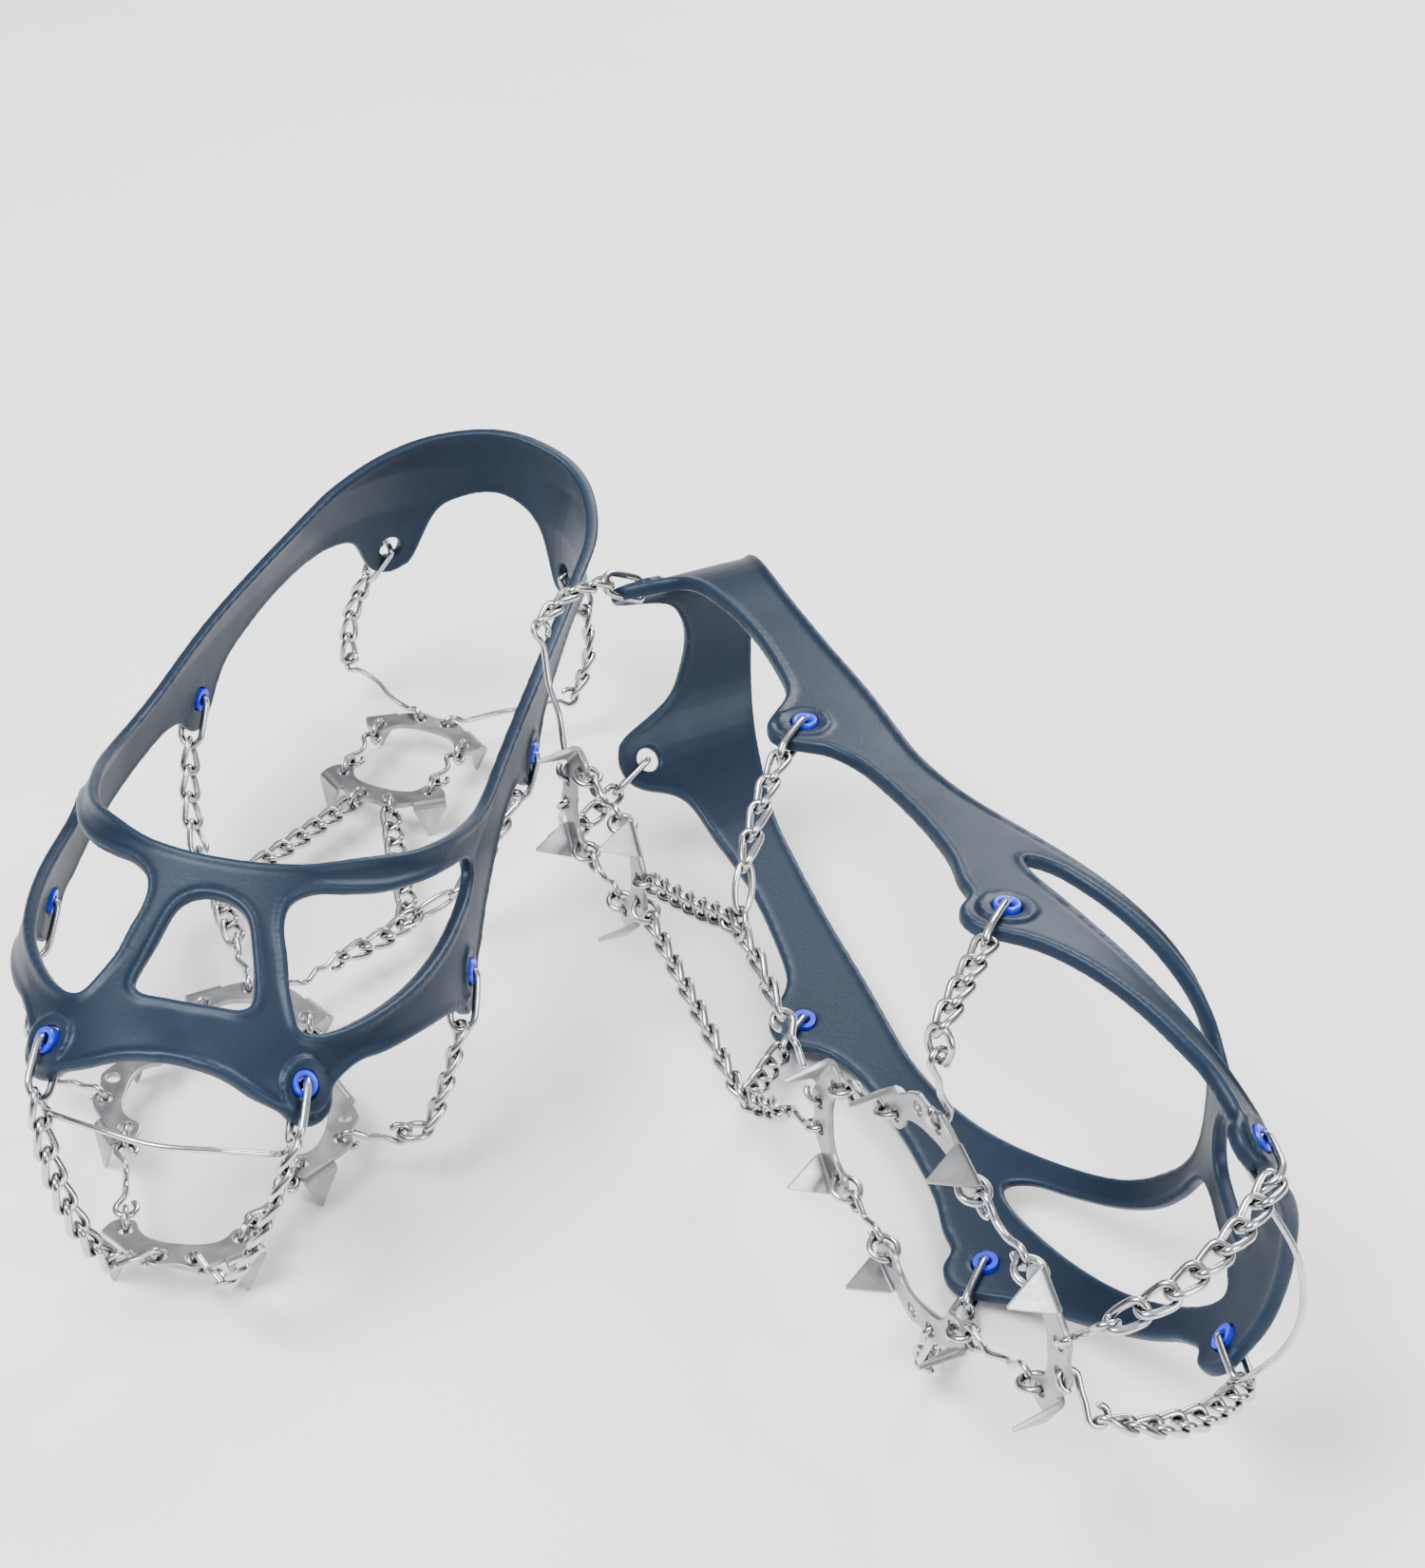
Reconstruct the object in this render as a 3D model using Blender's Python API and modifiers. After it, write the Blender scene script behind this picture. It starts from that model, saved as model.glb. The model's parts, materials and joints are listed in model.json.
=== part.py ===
"""A pair of slip-on ice cleats: elastic harness, eyelet bushes, chains, wire links and spiked plates.

Each cleat is designed in millimetres in its own frame: +X towards the toe, +Y to the wearer's left,
+Z up, with the spike tips of its plates at z = 0 and the heel of the boot near x = 0. One cleat stands
on its spikes, the other lies on its left side beside it. The pair's origin is the centre of its
footprint on the ground.
"""
import math

import bmesh
import bpy
from mathutils import Matrix, Vector

MM = 0.001

# The boot last that the harness is stretched over. Matching knots run from the toe round to the heel:
# OUTLINE is the widest line just above the sole, RIDGE is the line that the sides rise to.
SOLE_EDGE_Z = 24.0
SECTION_EXPONENT = 2.5
OUTLINE = [(291, 0), (284, 22), (266, 40), (236, 53), (203, 58.5), (165, 57.5),
           (125, 53.5), (85, 49.5), (45, 44), (14, 38), (-7, 24), (-14, 0)]
RIDGE = [(258, 0, 72), (255, 0, 73), (246, 0, 76), (228, 0, 84), (203, 0, 96), (172, 0, 112),
         (142, 12, 130), (100, 28, 148), (55, 32, 154), (25, 27, 154), (4, 15, 154), (-4, 0, 154)]
HEEL_P = 357.0              # distance round OUTLINE from the toe to the heel

# A foot is curved: the middle of a cleat is moved this far sideways, towards the foot's outer side
FOOT_CURVE = 11.5
CURVE_START = 20.0          # x where the curve starts and how long it is
CURVE_LENGTH = 250.0
OUTER_SIDE_SHARE = 0.86     # how wide the foot's outer side is in the middle, beside its inner side
INSTEP_LEAN = 3.0              # the standing cleat sits this far askew over the instep
LEAN_START_Z = 66.0
LEAN_RISE = 14.0               # height over which the lean grows from nothing

# The harness, drawn on the last as (distance round the outline, degrees up the side).
HARNESS_THICKNESS = 3.5
EYELET_HOLE_RADIUS = 4.1
LOBE_RADIUS = {"toe": 8.6, "ball": 10.4, "arch": 9.4, "heel": 8.6}
EYELETS = {"toe": (47.5, 46.0), "ball": (127.0, 13.0), "arch": (225.0, 8.5), "heel": (326.0, 8.5)}
STRIP_P = 24.0              # the flat pattern is cut into strips this wide before it is bent
STRIP_THETA = 24.0

# Eyelet bushes
BUSH_OUTER_RADIUS = 3.4
BUSH_INNER_RADIUS = 1.9
BUSH_BELOW = 0.4
BUSH_ABOVE = 0.3
BUSH_SIDES = 10

# Spiked plates, all alike: a shallow crescent with two spikes bent down at its ends
PLATE_THICKNESS = 1.8
SPIKE_LENGTH = 10.2
PLATE_MID_Z = SPIKE_LENGTH + PLATE_THICKNESS / 2
SPIKE_ROOT = ((3.0, 20.5), (-2.9, 12.3))
SPIKE_TIP_WIDTH = 1.4
SPIKE_SET_IN = 0.2          # how far a spike stops short of the plate's top and corners
LINK_HOLE_RADIUS = 1.9
LINK_HOLE_SIDES = 7
OUTER_HOLE = (-2.4, 4.0)    # on the plate's bulging side
END_HOLE = (5.4, 14.0)      # at the plate's ends, on its hollow side
PLATE_HALF_OUTLINE = [(2.2, 0.0), (2.5, 5.0), (3.8, 9.4), (6.3, 10.8), (8.6, 12.6), (8.9, 15.4),
                      (7.3, 18.2), (3.0, 20.5), (-2.9, 12.3), (-3.6, 9.0), (-4.9, 6.8),
                      (-5.8, 4.2), (-5.0, 1.2)]
# centre x, centre y and the direction of the plate's hollow side, in degrees from +X
PLATES = {"rear_heel_plate": (33, 0, 0), "front_heel_plate": (72, 0, 180),
          "rear_ball_plate": (174, 0, 0), "toe_plate": (270, 0, 180),
          "left_ball_plate": (219, 30, -90), "right_ball_plate": (219, -30, 90)}

# Chains and wire
CHAIN_PITCH = 7.5
CHAIN_BEAD_RADIUS = 2.7
CHAIN_NECK_RADIUS = 1.3
BAIL_WIRE_RADIUS = 1.0
LINK_WIRE_RADIUS = 0.8
TOE_WIRE_RADIUS = 0.75
WIRE_SWAY = 1.3             # how far a bent wire link strays from a straight line

# Where each cleat of the pair is put: angles about X, Y and Z in degrees, then place on the ground
STANDING_TURN = (0.0, 0.0, -90.0)
STANDING_PLACE = (0.0, 0.0)
LYING_TURN = (-85.4, -2.5, -52.1)
LYING_PLACE = (32.5, -99.0)


# ---------------------------------------------------------------- the boot last

def spline_point(knots, t):
    """A Catmull-Rom point; the knots are mirrored in y past both ends."""
    def knot(index):
        if index < 0 or index >= len(knots):
            inside = -index if index < 0 else 2 * len(knots) - 2 - index
            mirrored = list(knots[inside])
            mirrored[1] = -mirrored[1]
            return Vector(mirrored)
        return Vector(knots[index])

    index = min(int(t), len(knots) - 2)
    u = t - index
    a, b, c, d = (knot(index + step) for step in (-1, 0, 1, 2))
    return 0.5 * (2 * b + (c - a) * u + (2 * a - 5 * b + 4 * c - d) * u ** 2
                  + (3 * b - a - 3 * c + d) * u ** 3)


def outline_table(steps=600):
    """Distance round the outline at evenly spaced spline parameters, scaled to end at HEEL_P."""
    parameters = [(len(OUTLINE) - 1) * step / steps for step in range(steps + 1)]
    points = [spline_point(OUTLINE, t) for t in parameters]
    distances = [0.0]
    for before, after in zip(points, points[1:]):
        distances.append(distances[-1] + (after - before).length)
    scale = HEEL_P / distances[-1]
    return parameters, [distance * scale for distance in distances]


PARAMETERS, DISTANCES = outline_table()


def outline_parameter(p):
    """The spline parameter at distance p round the outline."""
    low, high = 0, len(DISTANCES) - 1
    while high - low > 1:
        middle = (low + high) // 2
        if DISTANCES[middle] <= p:
            low = middle
        else:
            high = middle
    share = (p - DISTANCES[low]) / (DISTANCES[high] - DISTANCES[low])
    return PARAMETERS[low] + share * (PARAMETERS[high] - PARAMETERS[low])


def last_point(p, theta):
    """A point on the last, p mm round from the toe and theta degrees up the side."""
    t = outline_parameter(min(max(p, 0.0), HEEL_P))
    edge = spline_point(OUTLINE, t)
    top = spline_point(RIDGE, t)
    angle = math.radians(min(theta, 90.0))
    inward = max(math.cos(angle), 0.0) ** (2 / SECTION_EXPONENT)
    upward = max(math.sin(angle), 0.0) ** (2 / SECTION_EXPONENT)
    y = top.y + (edge.y - top.y) * inward
    return Vector((top.x + (edge.x - top.x) * inward,
                   0.0 if abs(y) < 1e-6 else y,
                   SOLE_EDGE_Z + (top.z - SOLE_EDGE_Z) * upward))


def last_steps(p, theta, step=0.5):
    """How the last runs at a point: the vectors of 1 mm of p and of 1 degree of theta."""
    along = (last_point(p + step, theta) - last_point(p - step, theta)) / (2 * step)
    up = (last_point(p, theta + step) - last_point(p, theta - step)) / (2 * step)
    return along, up


def last_normal(p, theta):
    along, up = last_steps(p, theta)
    return along.cross(up).normalized()


# ---------------------------------------------------------------- the foot's curve

def curve_slope(x, curve):
    """How much the foot's curve moves a place sideways for 1 mm of x."""
    return curve * math.pi / CURVE_LENGTH * math.cos(math.pi * (x - CURVE_START) / CURVE_LENGTH)


def curved(place, curve):
    """A place on a straight cleat, moved to where it is on the curved one."""
    x, y, z = place
    bulge = math.sin(math.pi * (x - CURVE_START) / CURVE_LENGTH)
    narrowing = (1 - OUTER_SIDE_SHARE) * max(bulge, 0.0) if y * curve > 0 else 0.0
    askew = min(max((z - LEAN_START_Z) / LEAN_RISE, 0.0), 1.0) if curve < 0 else 0.0
    return Vector((x, y * (1 - narrowing) + curve * bulge + INSTEP_LEAN * askew, z))


# ---------------------------------------------------------------- helpers

def link_object(name, data, collection):
    thing = bpy.data.objects.new(name, data)
    collection.objects.link(thing)
    return thing


def make_collection(name):
    collection = bpy.data.collections.new(name)
    bpy.context.scene.collection.children.link(collection)
    return collection


def make_material(name, colour, metallic, roughness):
    material = bpy.data.materials.new(name)
    material.use_nodes = True
    shader = material.node_tree.nodes["Principled BSDF"]
    shader.inputs["Base Color"].default_value = (*colour, 1.0)
    shader.inputs["Metallic"].default_value = metallic
    shader.inputs["Roughness"].default_value = roughness
    material.diffuse_color = (*colour, 1.0)
    return material


def baked_mesh(thing, name):
    """The evaluated mesh of an object, welded; the object itself is removed."""
    graph = bpy.context.evaluated_depsgraph_get()
    mesh = bpy.data.meshes.new_from_object(thing.evaluated_get(graph))
    mesh.name = name
    shape = bmesh.new()
    shape.from_mesh(mesh)
    bmesh.ops.remove_doubles(shape, verts=shape.verts, dist=1e-6)
    shape.to_mesh(mesh)
    shape.free()
    bpy.data.objects.remove(thing)
    return mesh


def flat_outline(name, loops, half_thickness, collection):
    """A filled 2D curve: the first loop is the outside and the others are holes (metres)."""
    curve = bpy.data.curves.new(name, "CURVE")
    curve.dimensions = "2D"
    curve.fill_mode = "BOTH"
    curve.extrude = half_thickness
    for loop in loops:
        spline = curve.splines.new("POLY")
        spline.points.add(len(loop) - 1)
        for point, (x, y) in zip(spline.points, loop):
            point.co = (x, y, 0.0, 1.0)
        spline.use_cyclic_u = True
    return link_object(name, curve, collection)


def tube(name, points, radii, sides_detail, collection):
    """A wire or chain as a bevelled curve; points and radii in millimetres."""
    curve = bpy.data.curves.new(name, "CURVE")
    curve.dimensions = "3D"
    curve.bevel_depth = MM
    curve.bevel_resolution = sides_detail
    curve.use_fill_caps = True
    curve.twist_mode = "MINIMUM"
    spline = curve.splines.new("POLY")
    spline.points.add(len(points) - 1)
    for point, place, radius in zip(spline.points, points, radii):
        point.co = (*(Vector(place) * MM), 1.0)
        point.radius = radius
    return link_object(name, curve, collection)


def circle(centre, radius, sides, turn=0.0):
    steps = [turn + 2 * math.pi * index / sides for index in range(sides)]
    return [(centre[0] + radius * math.cos(a), centre[1] + radius * math.sin(a)) for a in steps]


def mirrored(place, side):
    return (place[0], place[1] * side, *place[2:])


# ---------------------------------------------------------------- harness

def boss_arc(eyelet, radius, start, end, count):
    """Pattern points on an arc round an eyelet; 0 degrees is towards the heel and 90 is up."""
    p, theta = EYELETS[eyelet]
    along, up = last_steps(p, theta)
    points = []
    for index in range(count):
        angle = math.radians(start + (end - start) * index / max(count - 1, 1))
        points.append((p + radius * math.cos(angle) / along.length,
                       theta + radius * math.sin(angle) / up.length))
    return points


def harness_outline():
    """The edge of the left half of the harness, from the toe along the bottom and back over the top."""
    toe_edge = [(0, 73.5), (9, 72), (18.5, 67.5), (25.5, 61), (31, 53)]
    toe_to_ball = [(64, 39), (75, 32.5), (90, 25), (103, 18.5), (112, 13.5)]
    ball_to_arch = [(143, 10), (155, 11.8), (175, 12.3), (198, 11.2), (211, 9)]
    arch_to_heel = [(240, 9.5), (255, 11), (275, 12), (295, 12), (313, 11)]
    heel_bottom = [(339, 13), (348, 15.5), (HEEL_P, 16.5)]
    heel_top = [(HEEL_P, 27), (340, 26), (319, 23.5), (293, 20.5), (265, 19), (242, 18.5), (215, 18.7)]
    strap = [(196, 19.5), (176, 22.5), (158, 28.5), (140, 38), (124, 49.5), (111.5, 63), (102, 76), (98, 90)]
    return (toe_edge + boss_arc("toe", LOBE_RADIUS["toe"], 190, 330, 5) + toe_to_ball
            + boss_arc("ball", LOBE_RADIUS["ball"], 205, 335, 4) + ball_to_arch
            + boss_arc("arch", LOBE_RADIUS["arch"], 205, 335, 4) + arch_to_heel
            + boss_arc("heel", LOBE_RADIUS["heel"], 205, 335, 4) + heel_bottom + heel_top + strap)


def middle_window():
    """The left half of the window over the instep: it opens on to the centre plane, theta = 90."""
    return [(85, 90), (84.2, 87.6), (82.2, 85.2), (78.5, 83.2), (70, 80.8), (61, 78), (54.5, 75.6),
            (50, 75), (45.5, 77.5), (39.5, 84), (33, 90)]


def side_window():
    return [(56.5, 60), (58.5, 55), (64, 50.5), (70.5, 46.5), (82, 40.5), (96, 34.2), (112, 28.8),
            (128, 24.8), (140, 22.8), (146.5, 23.8), (142.5, 29), (132, 35.5), (119, 44.5), (108, 54),
            (101, 63), (96, 71), (90, 75.5), (82, 75.4), (73, 72), (64, 67.8)]


def harness_pattern(collection):
    """The flat left half of the harness, cut into strips, as a triangle mesh in (p, theta)."""
    outside = harness_outline() + middle_window() + [(0, 90)]
    loops = [outside, side_window()]
    loops += [boss_arc(name, EYELET_HOLE_RADIUS, 0, 315, 8) for name in EYELETS]
    pattern = flat_outline("harness_pattern", [[(p * MM, t * MM) for p, t in loop] for loop in loops],
                           0.0, collection)
    shape = bmesh.new()
    shape.from_mesh(baked_mesh(pattern, "harness_pattern"))
    cuts = [(step * STRIP_P * MM, (1, 0, 0)) for step in range(1, int(HEEL_P / STRIP_P) + 1)]
    cuts += [(step * STRIP_THETA * MM, (0, 1, 0)) for step in range(1, int(90 / STRIP_THETA) + 1)]
    for distance, normal in cuts:
        geometry = shape.verts[:] + shape.edges[:] + shape.faces[:]
        bmesh.ops.bisect_plane(shape, geom=geometry, dist=1e-7,
                               plane_co=Vector(normal) * distance, plane_no=normal)
    bmesh.ops.triangulate(shape, faces=shape.faces[:])
    return shape


def make_harness_mesh(collection):
    """The harness bent on to the last: left half, mirrored, then thickened outwards."""
    shape = harness_pattern(collection)
    for vertex in shape.verts:
        vertex.co = last_point(vertex.co.x / MM, vertex.co.y / MM) * MM
    bmesh.ops.remove_doubles(shape, verts=shape.verts, dist=2e-5)
    shape.normal_update()
    middle = Vector((150, 0, 50)) * MM
    outward = sum((face.normal.dot(face.calc_center_median() - middle) * face.calc_area()
                   for face in shape.faces), 0.0)
    if outward < 0:
        bmesh.ops.reverse_faces(shape, faces=shape.faces[:])
    mesh = bpy.data.meshes.new("harness_half")
    shape.to_mesh(mesh)
    shape.free()
    half = link_object("harness_half", mesh, collection)
    mirror = half.modifiers.new("other_side", "MIRROR")
    mirror.use_axis = (False, True, False)
    mirror.merge_threshold = 1e-5
    wall = half.modifiers.new("wall", "SOLIDIFY")
    wall.thickness = HARNESS_THICKNESS * MM
    wall.offset = 1.0
    wall.use_even_offset = False
    return baked_mesh(half, "harness")


# ---------------------------------------------------------------- bushes and plates

def make_bush_mesh(collection):
    """A short tube through the harness wall, turned about Z with the wall's inside face at z = 0."""
    bottom = -BUSH_BELOW * MM
    top = (HARNESS_THICKNESS + BUSH_ABOVE) * MM
    inner = BUSH_INNER_RADIUS * MM
    outer = BUSH_OUTER_RADIUS * MM
    mesh = bpy.data.meshes.new("bush_profile")
    profile = [(outer, 0, top), (outer, 0, bottom), (inner, 0, bottom), (inner, 0, top)]
    mesh.from_pydata(profile, [(0, 1), (1, 2), (2, 3), (3, 0)], [])
    bush = link_object("bush_profile", mesh, collection)
    turn = bush.modifiers.new("turn", "SCREW")
    turn.axis = "Z"
    turn.steps = BUSH_SIDES
    turn.render_steps = BUSH_SIDES
    turn.use_merge_vertices = True
    turn.merge_threshold = 1e-5
    return baked_mesh(bush, "bush")


def make_spike(name, side, collection):
    """One spike: a flat triangle, blunt at its tip, standing under its root line on the plate."""
    root_a, root_b = (Vector((x, y * side, 0)) for x, y in SPIKE_ROOT)
    along = (root_b - root_a).normalized()
    width = (root_b - root_a).length
    centre = (root_a + root_b) / 2
    inward = Vector((-along.y, along.x, 0))
    if inward.dot(-centre) < 0:
        inward = -inward
    half_root = width / 2 - SPIKE_SET_IN
    half_tip = SPIKE_TIP_WIDTH / 2
    top = PLATE_THICKNESS / 2 - SPIKE_SET_IN
    tip = -SPIKE_LENGTH - PLATE_THICKNESS / 2
    profile = [(-half_root, top), (-half_tip, tip), (half_tip, tip), (half_root, top)]
    outline = [(x * MM, y * MM) for x, y in profile]
    spike = flat_outline(name, [outline], PLATE_THICKNESS / 2 * MM, collection)
    place = (centre + inward * (PLATE_THICKNESS / 2 - SPIKE_SET_IN)) * MM
    normal = along.cross(Vector((0, 0, 1)))
    turn = Matrix((along, Vector((0, 0, 1)), normal)).transposed().to_4x4()
    spike.matrix_world = Matrix.Translation(place) @ turn
    return spike


def make_plate_mesh(collection):
    """A plate about its own centre, hollow side towards +X, mid-thickness at z = 0."""
    half = PLATE_HALF_OUTLINE
    outline = half + [(x, -y) for x, y in reversed(half[1:])]
    holes = [circle((x, y * side), LINK_HOLE_RADIUS, LINK_HOLE_SIDES, math.pi / LINK_HOLE_SIDES)
             for x, y in (OUTER_HOLE, END_HOLE) for side in (1, -1)]
    loops = [[(x * MM, y * MM) for x, y in loop] for loop in [outline] + holes]
    flat = flat_outline("plate_outline", loops, PLATE_THICKNESS / 2 * MM, collection)
    plate = link_object("plate_blank", baked_mesh(flat, "plate_blank"), collection)
    cutters = []
    for side in (1, -1):
        spike = make_spike("spike_outline", side, collection)
        place = spike.matrix_world.copy()
        cutter = link_object("spike_blank", baked_mesh(spike, "spike_blank"), collection)
        cutter.matrix_world = place
        join = plate.modifiers.new("spike", "BOOLEAN")
        join.operation = "UNION"
        join.object = cutter
        cutters.append(cutter)
    bpy.context.view_layer.update()
    mesh = baked_mesh(plate, "spiked_plate")
    for cutter in cutters:
        bpy.data.objects.remove(cutter)
    return mesh


def plate_matrix(name, curve):
    x, y, turn = PLATES[name]
    angle = math.radians(turn) + math.atan(curve_slope(x, curve))
    return Matrix.Translation(curved((x, y, PLATE_MID_Z), curve) * MM) @ Matrix.Rotation(angle, 4, "Z")


def plate_hole(plate, hole, side, curve):
    """The centre of one of a plate's link holes, in the cleat's frame (mm)."""
    local = Vector((hole[0] * MM, hole[1] * side * MM, 0.0))
    return (plate_matrix(plate, curve) @ local) / MM


# ---------------------------------------------------------------- chains and wire

def hole_hook(hole, towards, radius=LINK_WIRE_RADIUS):
    """Wire through a plate's hole, from its free end under the plate to its lead-off above."""
    level = Vector((towards[0] - hole[0], towards[1] - hole[1], 0.0)).normalized()
    path = [(5.4, -2.5), (2.0, -3.2), (0.2, -1.9), (0.2, 1.9), (2.0, 3.2), (5.4, 2.2)]
    points = [hole + level * a + Vector((0, 0, b)) for a, b in path]
    return points, [radius] * len(points)


def eyelet_frame(eyelet, side, curve):
    """The centre of an eyelet on the last and the outward normal there."""
    p, theta = EYELETS[eyelet]
    place = Vector(mirrored(last_point(p, theta), side))
    normal = Vector(mirrored(last_normal(p, theta), side))
    normal.x -= curve_slope(place.x, curve) * normal.y
    return curved(place, curve), normal.normalized()


def eyelet_bail(eyelet, side, towards, curve):
    """A wire bail through an eyelet and over the harness's edge, free end inside the harness."""
    place, normal = eyelet_frame(eyelet, side, curve)
    down = Vector(towards) - place
    down = (down - normal * down.dot(normal)).normalized()
    lobe = LOBE_RADIUS[eyelet]
    path = [(10.0, -2.4), (2.4, -3.0), (0.3, -1.3), (0.3, 4.5), (2.4, 5.5),
            (lobe + 0.4, 4.9), (lobe + 3.9, 3.0)]
    points = [place + down * a + normal * b for a, b in path]
    return points, [BAIL_WIRE_RADIUS] * len(points)


def smooth_route(knots, spacing):
    """Points at even distances along a smooth curve through the knots."""
    ends = [2 * Vector(knots[0]) - Vector(knots[1]), 2 * Vector(knots[-1]) - Vector(knots[-2])]
    points = [ends[0]] + [Vector(knot) for knot in knots] + [ends[1]]
    dense = []
    for a, b, c, d in zip(points, points[1:], points[2:], points[3:]):
        for step in range(24):
            u = step / 24
            dense.append(0.5 * (2 * b + (c - a) * u + (2 * a - 5 * b + 4 * c - d) * u ** 2
                                + (3 * b - a - 3 * c + d) * u ** 3))
    dense.append(points[-2])
    lengths = [0.0]
    for before, after in zip(dense, dense[1:]):
        lengths.append(lengths[-1] + (after - before).length)
    count = max(2, round(lengths[-1] / spacing))
    route = []
    index = 0
    for step in range(count + 1):
        target = lengths[-1] * step / count
        while index < len(lengths) - 2 and lengths[index + 1] < target:
            index += 1
        share = (target - lengths[index]) / (lengths[index + 1] - lengths[index])
        route.append(dense[index].lerp(dense[index + 1], share))
    return route


def chain_beads(knots):
    """A chain's points and radii: a bead for each link and a neck between two links."""
    route = smooth_route(knots, CHAIN_PITCH / 2)
    radii = [CHAIN_NECK_RADIUS if index % 2 == 0 else CHAIN_BEAD_RADIUS for index in range(len(route))]
    return route, radii


def sway(start, end, across):
    """Points of a gently S-bent wire between two places."""
    shares = ((0.12, 0.0), (0.35, 1.0), (0.65, -1.0), (0.88, 0.0))
    return [start.lerp(end, share) + across * (WIRE_SWAY * offset) for share, offset in shares]


# Routes of the left side's chains between bail and plate, in the cleat's frame
TOE_ROUTE = [(276, 30.5, 62), (283.5, 26, 45), (285, 19, 27), (280.5, 11.5, 15)]
BALL_ROUTE = [(200.8, 60.2, 35), (207, 58.5, 27.3), (213, 56, 19), (219, 49, 12.5)]
ARCH_ROUTE = [(102, 51.5, 38.3), (107, 50, 32.3), (114.5, 46.5, 25), (122.5, 40.5, 17), (127, 36, 14.3)]
HEEL_ROUTE = [(1, 37.5, 35), (6, 39.5, 20), (13, 34, 12.5), (21, 20, 11.1)]
WAIST_KNOT = (131, 29, 11.1)
TOE_WIRE_END = (279.0, 26.5, 57.5)
TOE_WIRE_MIDDLE = (287.5, 0.0, 62.0)


def side_chain(name, eyelet, route, hole, side, curve, collection):
    """A bail, a chain round the edge of the sole and a hook in a plate, as one solid."""
    route = [curved(mirrored(place, side), curve) for place in route]
    bail, bail_radii = eyelet_bail(eyelet, side, route[0], curve)
    beads, bead_radii = chain_beads(route)
    hook, hook_radii = [], []
    if hole is not None:
        hook, hook_radii = hole_hook(hole, route[-1])
    points = bail + beads + hook[::-1]
    return tube(name, points, bail_radii + bead_radii + hook_radii, 0, collection)


def waist_chain(name, side, curve, collection):
    """The chain under the arch, from the front heel plate past the arch chain to the ball plates."""
    rear = plate_hole("front_heel_plate", OUTER_HOLE, -side, curve)
    front = plate_hole("rear_ball_plate", OUTER_HOLE, side, curve)
    knot = curved(mirrored(WAIST_KNOT, side), curve)
    rear_hook, rear_radii = hole_hook(rear, knot)
    front_hook, front_radii = hole_hook(front, knot)
    rear_start = rear.lerp(knot, 0.2)
    front_end = front.lerp(knot, 0.55)
    beads, bead_radii = chain_beads([rear_start, rear.lerp(knot, 0.6), knot, front_end])
    wire = sway(front_end, front.lerp(knot, 0.2), Vector((0, 0, 1)).cross((front - knot).normalized()))
    points = rear_hook + beads + wire[1:] + front_hook[::-1]
    radii = rear_radii + bead_radii + [LINK_WIRE_RADIUS] * (len(wire) - 1) + front_radii
    return tube(name, points, radii, 0, collection)


def plate_link(name, start, end, collection):
    """A wire link between two plates, hooked through a hole at each end."""
    first, first_radii = hole_hook(start, end)
    last, last_radii = hole_hook(end, start)
    across = Vector((0, 0, 1)).cross((end - start).normalized())
    middle = sway(first[-1], last[-1], across)[1:-1]
    points = first + middle + last[::-1]
    radii = first_radii + [LINK_WIRE_RADIUS] * len(middle) + last_radii
    return tube(name, points, radii, 0, collection)


def toe_wire(name, curve, collection):
    """A thin wire round the toe cap between the tops of the two toe chains."""
    x, y, z = TOE_WIRE_END
    mx, my, mz = TOE_WIRE_MIDDLE
    knots = [(x, y, z), (mx - 3.5, y * 0.6, mz), (mx, my, mz), (mx - 3.5, -y * 0.6, mz), (x, -y, z)]
    points = smooth_route([curved(knot, curve) for knot in knots], 8.0)
    return tube(name, points, [TOE_WIRE_RADIUS] * len(points), 1, collection)


# ---------------------------------------------------------------- a whole cleat

SIDES = {"left": 1, "right": -1}


def curved_harness(mesh, curve):
    """A copy of the straight harness mesh with the foot's curve put in."""
    shape = mesh.copy()
    for vertex in shape.vertices:
        vertex.co = curved(vertex.co / MM, curve) * MM
    return shape


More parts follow.
